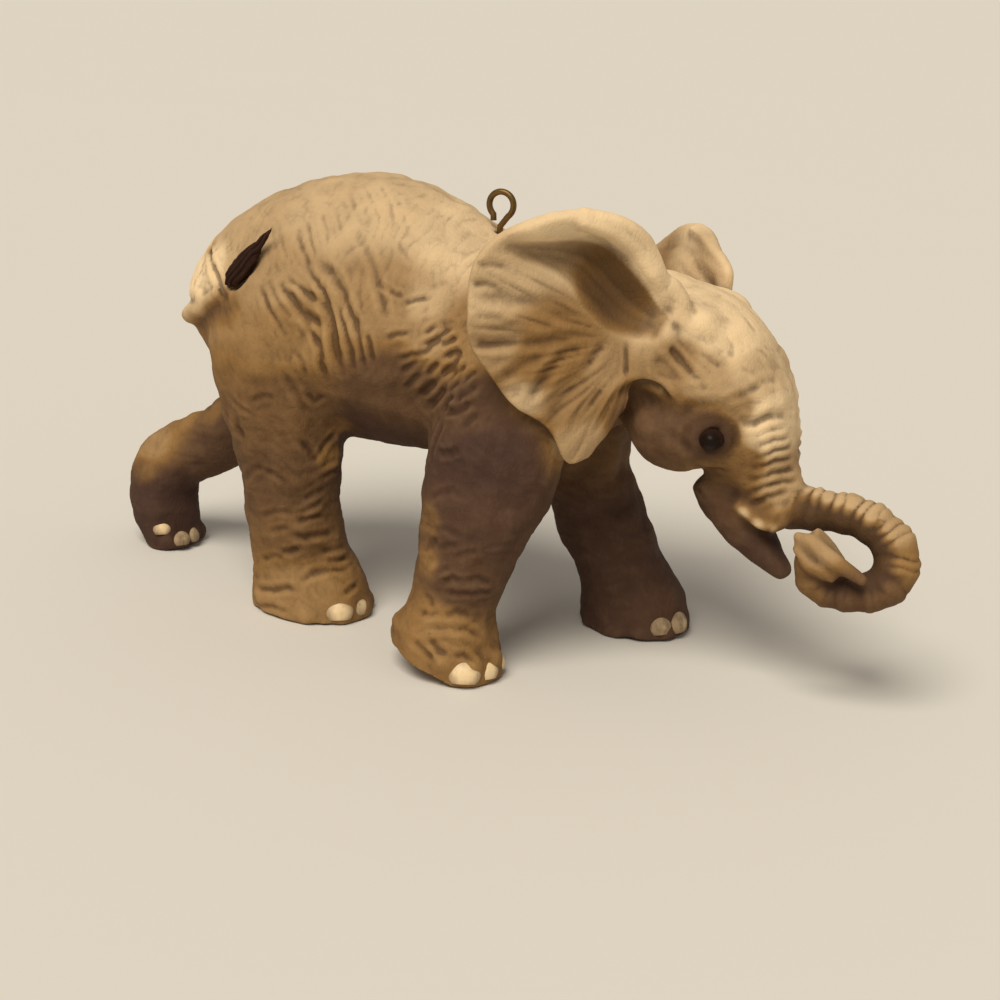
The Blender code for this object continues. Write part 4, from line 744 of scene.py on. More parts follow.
# Its steeper upper wall, its bowl, its depth on the left side, and its painted shade: least, growth and most
HOLLOW_UPPER_WALL = 1.4
HOLLOW_FLOOR = 1.05
HOLLOW_SPREAD = 2.1
HOLLOW_BOWL = 1.5
LEFT_HOLLOW = 0.7
HOLLOW_PAINTED_SHADE = (0.20, 0.36, 0.90)
HOLLOW_SHADED = 0.3
# Where that painted shade ends above and below: end and run, in half widths
HOLLOW_DARK_ABOVE = (1.24, 0.22)
HOLLOW_DARK_BELOW = (1.50, 0.6)
# The rolled edge above it, the way out from it, its breadth outside and inside, and its ends
EAR_ROLL = (
    (-19.4, 10.6), (-16.0, 11.0), (-12.6, 11.2), (-9.4, 11.5), (-6.2, 11.1), (-4.0, 9.8), (-2.2, 7.6),
    (-0.5, 5.8), (1.2, 4.2),
)
ROLL_HEIGHT = 0.95
ROLL_OUTWARD = (0.5, 0.0, 0.87)
ROLL_BREADTHS = (2.0, 1.0)
ROLL_ENDS = (4, 3)
ROLL_LEAST = 0.2


# The smooth noise: how a cell's corner is hashed, and what brings its swing to about 1
CORNER_PRIMES = (73856093, 19349663, 83492791)
SEED_PRIME = 7919
MIXING_PRIME = 1274126177
WORD = 0xFFFFFFFF
HALF_WORD = 65536
RIPPLE_SWING = 1.7


def ripple(points, seed=0):
    """Smooth noise between about -1 and 1, the same on every run."""
    base = np.floor(points)
    part = points - base
    fade = part ** 3 * (part * (part * 6 - 15) + 10)
    cell = base.astype(np.int64)
    total = np.zeros(len(points))
    for corner in range(8):
        step = np.array((corner & 1, corner >> 1 & 1, corner >> 2 & 1))
        key = ((cell + step) * CORNER_PRIMES).sum(1) + seed * SEED_PRIME
        key = (key ^ key >> 13) & WORD
        key = key * MIXING_PRIME & WORD
        key ^= key >> 15
        turn = (key & HALF_WORD - 1) * (2 * math.pi / HALF_WORD)
        lift = (key >> 16) / (HALF_WORD // 2) - 1
        flat = np.sqrt(np.maximum(0, 1 - lift ** 2))
        away = part - step
        slope = (away[:, 0] * np.cos(turn) + away[:, 1] * np.sin(turn)) * flat + away[:, 2] * lift
        total += slope * np.where(step, fade, 1 - fade).prod(1)
    return total * RIPPLE_SWING


def unit(vector):
    vector = np.asarray(vector, float)
    return vector / np.linalg.norm(vector)


def unit_rows(rows):
    """Each row at length 1; a row of zeros stays as it is."""
    return rows / np.maximum(np.linalg.norm(rows, axis=1), 1e-9)[:, None]


def bell(points, middle, reach):
    """How near each point is to a spot: 1 there, falling off over a reach."""
    return np.exp(-((points - middle) ** 2).sum(1) / reach ** 2)


def band(gap, radius, breadth):
    """1 where a distance is that radius, falling off over a breadth on both sides."""
    return np.exp(-((gap - radius) / breadth) ** 2)


def rise(values, start, run):
    """From 0 to 1 over a run that begins at a start."""
    return np.clip((values - start) / run, 0, 1)


def fall(values, end, run, least=0):
    """Down from 1 over a run, to its least at the end."""
    return np.clip((end - values) / run, least, 1)


def valley(across, lip_place, lip_breadth, lip_height):
    """A fold's profile against its width: 1 in its middle, with a low lip on each side."""
    return np.exp(-across ** 2) - lip_height * band(across, lip_place, lip_breadth)


def faded(along, run, share, least):
    """1 along a line, fading out over a share of it at both ends."""
    return np.clip(np.minimum(along, run - along) / (share * run) + least, 0, 1)


def along_line(points, line):
    """The nearest place on a line of points: how far along it, and the way from there to each point."""
    best = np.full(len(points), np.inf)
    along = np.zeros(len(points))
    away = np.zeros((len(points), 3))
    run = 0.0
    for start, end in zip(np.asarray(line[:-1], float), np.asarray(line[1:], float)):
        way = end - start
        length = np.linalg.norm(way)
        share = np.clip((points - start) @ way / length ** 2, 0, 1)
        gap = points - start - share[:, None] * way
        size = (gap ** 2).sum(1)
        nearer = size < best
        best[nearer] = size[nearer]
        along[nearer] = run + share[nearer] * length
        away[nearer] = gap[nearer]
        run += length
    return along, away, run


def rounded(line, times=3, cut=0.25):
    """A line with its corners cut, so that what follows it bends instead of folding."""
    line = np.asarray(line, float)
    for _ in range(times):
        near = (1 - cut) * line[:-1] + cut * line[1:]
        far = cut * line[:-1] + (1 - cut) * line[1:]
        between = np.stack([near, far], 1).reshape(-1, line.shape[1])
        line = np.concatenate([line[:1], between, line[-1:]])
    return line


def in_ear_plane(line):
    """A line of places back and up, as points in the ear's own plane."""
    return np.insert(np.asarray(line, float)[:, :2], 1, 0, axis=1)


# A smaller share than this of a casting counts as none
TRACE = 0.02
# Rounds that blur the castings' shares over a seam
SEAM_ROUNDS = 14
# A cut fold: how far it is felt, where its lips lie, how it ends, and how thick a skin it marks
FOLD_REACH = 3.2
FOLD_MARGIN = 0.9
FOLD_LIP = (1.75, 0.75, 0.42)
FOLD_ENDS = (0.22, 0.25)
FOLD_THROUGH = 1.6
# Wrinkles: how they wander, and how puffy their ridges are
WANDER_PITCH = 5.5
WANDER_SEEDS = (11, 12)
WANDER_SWAY = 1.5
WANDER_DEPTH = (0.75, 0.5)
WRINKLE_STRIDE = 3.7
WRINKLE_RIDGE = 1.6
WRINKLE_PUFF = 0.8
WRINKLE_BASE = 0.5


class Clay:
    """The skin's points, in millimetres from the calf's middle, and the outward way at each of them."""

    def __init__(self, thing):
        self.thing = thing
        self.mesh = thing.data
        count = len(self.mesh.vertices)
        flat = np.empty(count * 3)
        self.mesh.vertices.foreach_get("co", flat)
        self.points = flat.reshape(-1, 3) / MM - MIDDLE
        self.height = np.zeros(count)
        self.shade = np.zeros(count)
        edges = np.empty(len(self.mesh.edges) * 2, np.int32)
        self.mesh.edges.foreach_get("vertices", edges)
        self.first, self.second = edges.reshape(-1, 2).T
        self.links = np.maximum(np.bincount(edges, minlength=count), 1)
        self.renew()

    def renew(self):
        """Writes the points back and reads the outward ways again."""
        self.mesh.vertices.foreach_set("co", place(self.points).ravel())
        self.mesh.update()
        flat = np.empty(len(self.points) * 3, np.float32)
        self.mesh.vertex_normals.foreach_get("vector", flat)
        self.outward = flat.reshape(-1, 3).astype(float)

    def push(self, height):
        """Moves the skin out by a height, and starts the next height from nothing."""
        self.points += self.outward * height[:, None]
        self.height = np.zeros(len(self.points))

    def evened(self, values, rounds):
        """Values averaged with their neighbours' again and again."""
        values = np.asarray(values, float)
        columns = values.reshape(len(values), -1).T.copy()
        for k, column in enumerate(columns):
            for _ in range(rounds):
                near = np.bincount(self.first, column[self.second], len(column))
                near += np.bincount(self.second, column[self.first], len(column))
                column = (column + near / self.links) / 2
            columns[k] = column
        return columns.T.reshape(values.shape)

    def settle_castings(self):
        """Which casting each place belongs to, with soft shares near the seams."""
        corners, faces, owners = [], [], []
        for number, name in enumerate(SKIN_NODES):
            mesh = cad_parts[name].data
            start = len(corners)
            corners += [vertex.co.copy() for vertex in mesh.vertices]
            faces += [[start + k for k in face.vertices] for face in mesh.polygons]
            owners += [number] * len(mesh.polygons)
        tree = BVHTree.FromPolygons(corners, faces)
        nearest = [tree.find_nearest(Vector(point))[2] for point in place(self.points)]
        casting = np.array(owners)[nearest]
        shares = self.evened(np.eye(len(SKIN_NODES))[casting], SEAM_ROUNDS)
        self.casting = shares.argmax(1)
        self.shares = dict(zip(SKIN_NODES, shares.T))

    def share(self, names):
        return sum(self.shares[name] for name in names)

    def gap_to(self, spot_in_mm):
        return np.linalg.norm(self.points - spot_in_mm, axis=1)

    def stroke(self, line, width, depth, mask=None):
        """One fold cut along a line: a valley between two low lips, fading out at its ends."""
        line = np.asarray(line, float)
        reach = FOLD_REACH * width + FOLD_MARGIN
        near = ((self.points > line.min(0) - reach) & (self.points < line.max(0) + reach)).all(1)
        index = np.flatnonzero(near)
        if not len(index):
            return
        along, away, run = along_line(self.points[index], line)
        up = (away * self.outward[index]).sum(1)
        across = np.sqrt(np.maximum(0, (away ** 2).sum(1) - up ** 2)) / width
        height = valley(across, *FOLD_LIP)
        height *= depth * faded(along, run, *FOLD_ENDS) * np.exp(-(up / FOLD_THROUGH) ** 4)
        if mask is not None:
            height *= mask[index]
        self.height[index] += height

    def wrinkle(self, mask, across, pitch, stretch, depth, seed):
        """Puffy ridges between sharp creases that run square to a direction."""
        index = np.flatnonzero(mask > TRACE)
        points = self.points[index]
        across = unit(across)
        wander = np.stack([ripple(points / WANDER_PITCH, seed + k) for k in WANDER_SEEDS], 1)
        shift = points @ across
        flat = points - shift[:, None] * across
        shift = shift + wander[:, 0] * WANDER_SWAY
        spread = flat / (pitch * stretch) + (shift / pitch)[:, None] * across
        value = np.abs(ripple(spread + seed * WRINKLE_STRIDE, seed))
        ridge = WRINKLE_RIDGE * value ** WRINKLE_PUFF - WRINKLE_BASE
        self.height[index] += ridge * depth * mask[index] * (WANDER_DEPTH[0] + WANDER_DEPTH[1] * wander[:, 1])


def make_raw_skin(look):
    """All the castings and the laid folds in one closed, smooth skin."""
    shells = []
    for name in SKIN_NODES:
        shell = node_copy(name, "shell_" + name)
        grow(shell, SWELL * MM)
        apply_steps(shell)
        shells.append(shell)
    rolls = bmesh.new()
    lines = [np.array(line) for line in LAID_FOLDS]
    lines += [lines[k] * (1, -1, 1, 1) for k in MIRRORED_FOLDS]
    for line in lines:
        for start, end in zip(line[:-1], line[1:]):
            steps = max(2, int(np.linalg.norm((end - start)[:3]) / LAID_STEP))
            for share in np.linspace(0, 1, steps):
                x, y, z, radius = start + (end - start) * share
                bmesh.ops.create_icosphere(rolls, subdivisions=2, radius=(radius + SWELL) * MM,
                                           matrix=Matrix.Translation(spot(x, y, z)))
    folds = bpy.data.objects.new("laid_folds", bpy.data.meshes.new("laid_folds"))
    rolls.to_mesh(folds.data)
    rolls.free()
    bpy.context.scene.collection.objects.link(folds)
    pick(folds, *shells)
    bpy.ops.object.join()
    skin = bpy.context.object
    skin.data.materials.clear()
    knead(skin, look.grain, POLISH_ROUNDS)
    grow(skin, -SWELL * MM)
    apply_steps(skin)
    bpy.ops.object.mode_set(mode="EDIT")
    bpy.ops.mesh.select_all(action="SELECT")
    bpy.ops.mesh.separate(type="LOOSE")
    bpy.ops.object.mode_set(mode="OBJECT")
    parts = sorted(bpy.context.selected_objects, key=lambda part: len(part.data.vertices))
    for crumb in parts[:-1]:
        bpy.data.objects.remove(crumb)
    parts[-1].name = "skin"
    return parts[-1]


def press_broad_forms(clay):
    """The hollows and swellings of the body and head, lumps, the lids round the eyes and the painted shadow
    in their sockets.
    """
    soft = clay.evened(clay.points, SOFT_ROUNDS)
    for middle, reach in SMOOTHED:
        near = np.clip(SMOOTHED_CORE * bell(clay.points, middle, reach), 0, 1)
        clay.points += near[:, None] * (soft - clay.points)
    clay.renew()
    trunkless = clay.share(("torso", "head", "lower_jaw", *LEGS))
    for middle, reach, push in BROAD_FORMS:
        for side in (1, -1):
            clay.height += push * bell(clay.points, np.array(middle) * (1, side, 1), reach) * trunkless
    lumps = ripple(clay.points / LUMP_PITCH, 5) + 0.5 * ripple(clay.points / LUMP_PITCH * 2, 6)
    clay.height += lumps * LUMP_DEPTH * trunkless
    clay.height += ripple(clay.points / LEG_LUMP_PITCH, 9) * LEG_LUMP_DEPTH * clay.share(LEGS)
    for eye in EYES:
        gap = clay.gap_to(eye)
        clay.height += LID_HEIGHT * band(gap, *LID) - GROOVE_DEPTH * band(gap, *GROOVE)
        clay.shade += EYE_SHADOW_TONE * band(gap, *EYE_SHADOW)
    clay.push(clay.height)
    for eye in EYES:
        out = unit(np.array(EYE_WAY) * (1, math.copysign(1, eye[1]), 1))
        gap = clay.points - eye
        flat = gap - (gap @ out)[:, None] * out
        size = np.linalg.norm(flat, axis=1)
        near = band(size, *LID_EDGE) * (np.linalg.norm(gap, axis=1) < LID_REACH) * (gap @ out > LID_FRONT)
        flat /= np.maximum(size, LID_CORE)[:, None]
        clay.points -= flat * (near * (LID_CLOSED + LID_DROOP * np.abs(flat[:, 2])))[:, None]
    for name, middle, reach, way in DRAWN:
        near = bell(clay.points, middle, reach) * clay.share((name,))
        clay.points += near[:, None] * np.array(way)
    clay.renew()


def ear_hollow(flat):
    """How deep the hollow is at each place of an ear's plane, and how dark its painted shade."""
    hollow = rounded(EAR_HOLLOW)
    line = in_ear_plane(hollow)
    runs = np.append(0, np.cumsum(np.linalg.norm(np.diff(line, axis=0), axis=1)))
    along, away, _ = along_line(flat, line)
    gap = np.linalg.norm(away, axis=1) / np.interp(along, runs, hollow[:, 2])
    depth = np.interp(along, runs, hollow[:, 3])
    above = away[:, 2] > 0
    wall = gap * np.where(above, HOLLOW_UPPER_WALL, 1.0)
    sink = depth * np.clip(HOLLOW_FLOOR - wall ** 2 / HOLLOW_SPREAD, 0, 1) ** HOLLOW_BOWL
    edge = np.where(above, fall(gap, *HOLLOW_DARK_ABOVE), fall(gap, *HOLLOW_DARK_BELOW))
    dark = np.minimum(HOLLOW_PAINTED_SHADE[0] + HOLLOW_PAINTED_SHADE[1] * depth, HOLLOW_PAINTED_SHADE[2])
    return sink, edge * np.clip(depth / HOLLOW_SHADED, 0, 1) * dark


def ear_roll(flat):
    """How far the rolled upper edge stands out: broad outside and narrow inside."""
    along, away, run = along_line(flat, in_ear_plane(rounded(EAR_ROLL)))
    spread = np.where(away @ ROLL_OUTWARD > 0, *ROLL_BREADTHS)
    ends = np.clip(np.minimum(along / ROLL_ENDS[0], (run - along) / ROLL_ENDS[1]), ROLL_LEAST, 1)
    return ROLL_HEIGHT * np.exp(-(np.linalg.norm(away, axis=1) / spread) ** 2) * ends


def ear_fan(x, z, side):
    """How high the ridges stand that fan out from the hinge to the ear's edge."""
    reach = np.hypot(x - EAR_HINGE[0], z - EAR_HINGE[1])
    angle = np.arctan2(z - EAR_HINGE[1], -(x - EAR_HINGE[0]))
    fan = np.stack([angle * FAN_CLOSE, reach / FAN_LONG, np.full(len(x), side * FAN_SIDE)], 1)
    ridge = FAN_PUFF * (1 - np.exp(-(ripple(fan, FAN_SEED) * FAN_SHARP) ** 2))
    rim = rise(reach, *FAN_BEGINS) * fall(z - FAN_SLANT * -x, *FAN_FADES)
    return (ridge - FAN_BASE) * FAN_HEIGHT * rim


def bend_ears(clay, look):
    """The ears' deep hollow with its painted shade, and the fan of ridges and creases from the hinge to the
    edge.
    """
    for name, root, spread, pitch, side in EARS:
        tipped = Matrix.Rotation(math.radians(pitch), 3, "Y")
        turn = np.array(Matrix.Rotation(math.radians(spread), 3, "Z") @ tipped)
        index = np.flatnonzero(clay.shares[name] > TRACE)
        local = (clay.points[index] - root) @ turn * (1, side, 1)
        mask = np.clip(clay.shares[name][index] * EAR_FILLED, 0, 1)
        x, z = local[:, 0], local[:, 2]
        flat = np.stack([x, np.zeros_like(x), z], 1)
        sink, shade = ear_hollow(flat)
        sink *= 1.0 if side > 0 else LEFT_HOLLOW
        sink -= ear_roll(flat)
        for width, depth, line in EAR_CREASES:
            along, away, run = along_line(flat, in_ear_plane(line))
            fold = valley(np.linalg.norm(away, axis=1) / width, *EAR_CREASE_LIP)
            sink -= EAR_CREASE_DEPTH * depth * faded(along, run, *EAR_CREASE_ENDS) * fold * look.folds
        sink -= ear_fan(x, z, side) * look.wrinkles
        way = turn @ np.array((0.0, side, 0.0))
        clay.points[index] += way * (sink * mask)[:, None]
        # The hollow's painted shade goes only on the ear's front
        front = np.clip((clay.outward[index] @ -way) * 2, 0, 1)
        clay.shade[index] += mask * front * shade
    clay.renew()


def cut_folds(clay, look):
    """The folds read off the figure, on both sides of the body and head."""
    y, z = clay.points[:, 1], clay.points[:, 2]
    body = clay.share(("torso", "head", "lower_jaw", "trunk", "tail", *LEGS))
    body += clay.share(("right_ear", "left_ear")) * (np.abs(y) < EAR_ROOT_Y) * (z < EAR_ROOT_Z)
    body *= 1 - BACK_CALM * rise(z, *BACK_HEIGHT) * clay.shares["torso"]
    for share, folds in ((BODY_FOLD_DEPTH, BODY_FOLDS), (HEAD_FOLD_DEPTH, HEAD_FOLDS)):
        for width, depth, line in folds:
            for side in (1, -1):
                mirrored = np.array(line) * (1, side, 1)
                clay.stroke(mirrored, width * FOLD_BREADTH, depth * share * look.folds, body)
    for width, depth, line in TAIL_FOLDS:
        clay.stroke(line, width, depth * look.folds)
    for width, depth, line in LEG_FOLDS:
        clay.stroke(line, width * FOLD_BREADTH, depth * LEG_FOLD_DEPTH * look.folds, body)
    clay.push(clay.height)
    clay.renew()


def ring_trunk(clay, look):
    """Rings round the curled trunk, bold on its outer side, and a smooth inner side darkened as painted
    shade.
    """
    mask = clay.share(("trunk",))
    index = np.flatnonzero(mask > TRACE)
    points = clay.points[index]
    along, away, run = along_line(points, TRUNK_LINE)
    wander = ripple(points / RING_WANDER_PITCH, 41) * RING_WANDER
    phase = (along + wander) / TRUNK_RING_PITCH
    ring = np.abs(np.sin(phase * math.pi)) ** RING_PUFF - RING_BASE
    facing = (unit_rows(away) * unit_rows(points - CURL_MIDDLE)).sum(1)
    outer = np.clip(0.16 + 1.1 * facing, 0.03, 1) * fall(along, 0.66 * run, 0.16 * run, 0.3)
    fine = np.abs(ripple(np.stack([along / 0.7, away[:, 1] / 2, away[:, 2] / 2], 1), 43)) - 0.3
    # Painted shade on the curl's inner side, fading out at the root and the tip
    inner = np.clip((0.66 - facing - 0.20 * ring) / 0.32, 0, 1)
    inner *= fall(along, 0.60 * run, 0.15 * run, 0.75)
    inner *= fall(along, run - 3.5, 3) * rise(along, 1, 3)
    clay.shade[index] += inner * mask[index]
    height = (ring * RING_HEIGHT + fine * RING_CREASE) * outer * mask[index] * fall(along, run, 2.5)
    clay.height[index] = height
    clay.push(clay.height * look.wrinkles)
    clay.renew()


def lay_wrinkles(clay, look):
    """The fine network of wrinkles, zone by zone."""
    calm = np.ones(len(clay.points))
    for eye in EYES:
        calm *= rise(clay.gap_to(eye), *EYE_CALM)
    calm *= rise(clay.points[:, 2], *SOLE_CALM)
    for seed, (castings, middle, reach, across, pitch, stretch, depth) in enumerate(WRINKLES):
        gap = ((clay.points - middle) / np.array(reach, float)) ** 2
        mask = clay.share(castings) * np.clip(WRINKLE_CORE * np.exp(-gap.sum(1)), 0, 1) * calm
        clay.wrinkle(mask, across, pitch, stretch, depth * look.wrinkles, seed)
    clay.push(clay.height)
    clay.points[:, 2] = np.maximum(clay.points[:, 2], 0.0)
    clay.renew()


def standing_out(clay, rounds):
    """How far each place stands out from the skin evened over some rounds."""
    return ((clay.points - clay.evened(clay.points, rounds)) * clay.outward).sum(1)


def paint_clay(clay, look):
    """Writes the paint's ground colour, with its painted light and shade, and how far each place lies in a
    crease or on a ridge.
    """
    fine = clay.evened(standing_out(clay, FINE_ROUNDS), 1)
    broad = standing_out(clay, BROAD_ROUNDS)
    for eye in EYES:
        plain = rise(clay.gap_to(eye), *EYE_PLAIN)
        fine = np.where(fine > 0, fine * plain, fine)
        broad = np.where(broad > 0, broad * plain, broad)
    broad *= 1 - EAR_PLAIN * clay.share(("right_ear", "left_ear"))
    total = np.zeros(len(clay.points))
    weight = np.zeros(len(clay.points))
    folded = clay.points.copy()
    mirrored = clay.share(("torso", "head", "lower_jaw", "right_ear", "left_ear")) > 0.5
    folded[mirrored, 1] = -np.abs(folded[mirrored, 1])
    for middle, reach, tone in TONES:
        near = 1 / (TONE_CORE + ((folded - middle) ** 2).sum(1) / reach ** 2) ** 3
        total += near * tone
        weight += near
    shade = np.clip(clay.shade, 0, 1)
    tone = np.clip(total / weight, *TONE_LIMITS)
    for middle, reach, patch in PATCHES:
        tone += bell(clay.points, middle, reach) * (patch - tone)
    tone *= 1 - SHADE_TONE * shade
    dark, middle, pale = (np.array(colour) for colour in (look.shin, look.flank, look.back))
    share = tone[:, None] * 2
    colour = np.where(share < 1, dark + (middle - dark) * share, middle + (pale - middle) * (share - 1))
    colour *= (1 - SHADE_COLOUR * shade)[:, None]
    for name, kind, values in (
        ("relief", "FLOAT", np.clip(fine / FINE_FULL, -1, 1)),
        ("hollow", "FLOAT", np.clip(broad / BROAD_FULL, -1, 1)),
        ("paint", "FLOAT_COLOR", np.column_stack([colour, np.ones(len(colour))])),
    ):
        layer = clay.mesh.attributes.new(name, kind, "POINT")
        layer.data.foreach_set("color" if kind == "FLOAT_COLOR" else "value", values.ravel())


def corner_points(mesh):
    """The point that each corner of the faces lies on."""
    corners = np.empty(len(mesh.loops), np.int32)
    mesh.loops.foreach_get("vertex_index", corners)
    return corners


def split_castings(clay, material):
    """Parts the skin at the castings' seams; the shading runs on over them, as the paint does."""
    mesh = clay.mesh
    held = mesh.attributes.new("held", "FLOAT_VECTOR", "POINT")
    held.data.foreach_set("vector", clay.outward.ravel())
    for name in SKIN_NODES:
        mesh.materials.append(bpy.data.materials.new(MARK + name))
    corners = corner_points(mesh)
    starts = np.empty(len(mesh.polygons), np.int32)
    mesh.polygons.foreach_get("loop_start", starts)
    owner = np.repeat(np.arange(len(starts)), np.diff(np.append(starts, len(corners))))
    counts = np.zeros((len(mesh.polygons), len(SKIN_NODES)), np.int32)
    np.add.at(counts, (owner, clay.casting[corners]), 1)
    mesh.polygons.foreach_set("material_index", counts.argmax(1).astype(np.int32))
    pick(clay.thing)
    bpy.ops.object.mode_set(mode="EDIT")
    bpy.ops.mesh.select_all(action="SELECT")
    bpy.ops.mesh.separate(type="MATERIAL")
    bpy.ops.object.mode_set(mode="OBJECT")
    missing = set(SKIN_NODES)
    for piece in list(bpy.context.selected_objects):
        number = piece.data.polygons[0].material_index
        name = piece.data.materials[number].name.removeprefix(MARK)
        skin_faces = len(piece.data.polygons)
        close_casting(piece)
        piece.name = piece.data.name = "painted_" + name
        settle(piece, material, (name,))
        keep_shading(piece, skin_faces)
        missing.discard(name)
    for name in SKIN_NODES:
        bpy.data.materials.remove(bpy.data.materials[MARK + name])
    if missing:
        raise RuntimeError("the skin has no part for " + ", ".join(sorted(missing)))


def close_casting(piece):
    """Caps a casting where it was parted from its neighbours; the cap lies a little inside the skin."""
    mesh = bmesh.new()
    mesh.from_mesh(piece.data)
    held = mesh.verts.layers.float_vector["held"]
    rim = [edge for edge in mesh.edges if edge.is_boundary]
    made = bmesh.ops.extrude_edge_only(mesh, edges=rim)["geom"]
    for vertex in made:
        if isinstance(vertex, bmesh.types.BMVert):
            vertex.co -= vertex[held] * CAP_DEPTH * MM
    inner = [edge for edge in made if isinstance(edge, bmesh.types.BMEdge) and edge.is_boundary]
    bmesh.ops.holes_fill(mesh, edges=inner, sides=0)
    mesh.to_mesh(piece.data)
    mesh.free()
    for face in piece.data.polygons:
        face.material_index = 0


def keep_shading(piece, skin_faces):
    """Shades the painted skin as it was before the parting, and its caps flat."""
    mesh = piece.data
    held = np.empty(len(mesh.vertices) * 3, np.float32)
    mesh.attributes["held"].data.foreach_get("vector", held)
    ways = held.reshape(-1, 3)[corner_points(mesh)]
    for face in mesh.polygons[skin_faces:]:
        ways[face.loop_start:face.loop_start + face.loop_total] = face.normal
    mesh.normals_split_custom_set(ways)
    mesh.attributes.remove(mesh.attributes["held"])


class CALF_OT_skin(bpy.types.Operator):
    """Sculpt, wrinkle and paint the skin, and part it into its castings"""
    bl_idname = "calf.skin"
    bl_label = "Skin"

    def execute(self, context):
        look = context.scene.calf_hide
        clay = Clay(make_raw_skin(look))
        clay.settle_castings()
        press_broad_forms(clay)
        bend_ears(clay, look)
        cut_folds(clay, look)
        ring_trunk(clay, look)
        lay_wrinkles(clay, look)
        paint_clay(clay, look)
        split_castings(clay, hide_paint(look))
        return {"FINISHED"}


# Toenails, eyes, tuft and hanging eye

# Each foot's large nails: middle, the way it faces in degrees from ahead, size, and how much painted shade
# browns its paint
NAILS = {
    "hind_right_leg": (
        (-18.0, -9.4, 2.0, -48, 1.05, 0.0), (-16.5, -6.0, 1.9, -8, 0.9, 0.25),
        (-18.0, -2.8, 2.0, 40, 0.85, 0.2),
    ),
    "front_right_leg": (
        (5.0, -20.2, 2.1, -62, 1.15, 0.0), (6.9, -17.4, 2.0, -34, 1.0, 0.0), (7.2, -14.0, 2.0, 0, 0.85, 0.2),
    ),
    "front_left_leg": (
        (21.2, 8.6, 2.2, -40, 0.9, 1.1), (22.9, 11.3, 2.3, -5, 1.0, 0.85), (21.8, 14.4, 2.4, 35, 0.8, 0.5),
    ),
    "hind_left_leg": (
        (-52.7, 2.3, 3.5, -45, 0.72, 0.15), (-50.3, 4.0, 1.9, -25, 0.72, 1.15),
        (-49.8, 6.8, 1.9, 15, 0.70, 1.4),
    ),
}
# A nail is cut from a ball of radius 1: the height of the cut, how square it is, how narrow at the top
NAIL_CUT = -0.62
NAIL_SQUARED = 0.16
NAIL_NARROWED = 0.18
# Its thickness, breadth and height against its width, its lean in degrees, and how far it is sunk
NAIL_SHAPE = (0.30, 0.47, 0.50)
NAIL_LEAN = -14
NAIL_SUNK = 0.35
# Its paint thins into this stain towards the rim: how fast, and how much of the middle stays clear
NAIL_STAIN = (0.13, 0.075, 0.04, 1.0)
NAIL_FADE = 1.4
NAIL_CLEAR = 0.6


def nail_paint(small):
    """Cream gloss paint, thinner and browner towards the skin, browner still where a nail is in painted
    shade, with fine upright streaks.
    """
    paint = Paint("painted_toenail")
    streak = paint.noise(stretched(paint, (2600.0, 2600.0, 500.0)), 1.0, 3.0)
    cloud = paint.noise(paint.where(), 700.0, 3.0)
    thin = (paint.painted("edge") * 0.85 + (cloud - 0.5) * 0.9 + (streak - 0.5) * 0.5).held()
    colour = paint.mix(thin * 0.85, tint(small.nail_colour), NAIL_STAIN)
    bump = paint.bump(streak, 0.35, 0.00006)
    return paint.finish(base_color=colour, roughness=0.42 + thin * 0.3, normal=bump, specular_ior_level=0.4)


def make_nail(small, x, y, z, facing, size, dim):
    """One nail: a domed oval plate with a straight lower edge, set on the foot's rim."""
    bpy.ops.mesh.primitive_uv_sphere_add(segments=32, ring_count=20, radius=1, location=(0, 0, 0))
    nail = bpy.context.object
    edit_whole(nail, bpy.ops.mesh.bisect,
               plane_co=(0, 0, NAIL_CUT), plane_no=(0, 0, 1), use_fill=True, clear_inner=True)
    for vertex in nail.data.vertices:
        point = vertex.co
        point.y *= 1 + NAIL_SQUARED * (1 - point.z ** 2)
        point.x *= 1 - NAIL_NARROWED * max(0, point.z)
    width = small.nail_width * size
    turn = Matrix.Rotation(math.radians(facing), 4, "Z") @ Matrix.Rotation(math.radians(NAIL_LEAN), 4, "Y")
    scale = Matrix.Diagonal((*(width * share for share in NAIL_SHAPE), 1))
    ahead = Vector((math.cos(math.radians(facing)), math.sin(math.radians(facing)), 0))
    foot = Matrix.Translation(spot(x, y, z - NAIL_SUNK) - ahead * NAIL_SUNK * MM)
    nail.data.transform(foot @ turn @ scale)
    edge = nail.data.attributes.new("edge", "FLOAT", "POINT")
    middle = spot(x, y, z)
    for vertex, mark in zip(nail.data.vertices, edge.data):
        gap = vertex.co - middle
        side = (gap - ahead * gap.dot(ahead)).length
        top = max(0, gap.z) / width * 0.5
        # A nail's painted shade browns all of it towards the stain
        mark.value = within(side / (width * 0.5) * NAIL_FADE - NAIL_CLEAR + dim + top)
    return nail


class CALF_OT_toenails(bpy.types.Operator):
    """Set three large cream toenails on the front of every foot"""
    bl_idname = "calf.toenails"
    bl_label = "Toenails"

    def execute(self, context):
        small = context.scene.calf_small
        paint = nail_paint(small)
        for leg, places in NAILS.items():
            nails = [make_nail(small, *nail) for nail in places]
            pick(*nails)
            bpy.ops.object.join()
            foot = bpy.context.object
            foot.name = foot.data.name = leg.replace("_leg", "_toenails")
            settle(foot, paint)
        return {"FINISHED"}


# A bead eye of radius 1: how far out its crown reaches, how much it bulges, and its brown rim
BEAD_CROWN = 0.62
BEAD_BULGE = 0.10
BEAD_RIM = 0.3
BEAD_RIM_COLOUR = (0.030, 0.013, 0.008, 1.0)


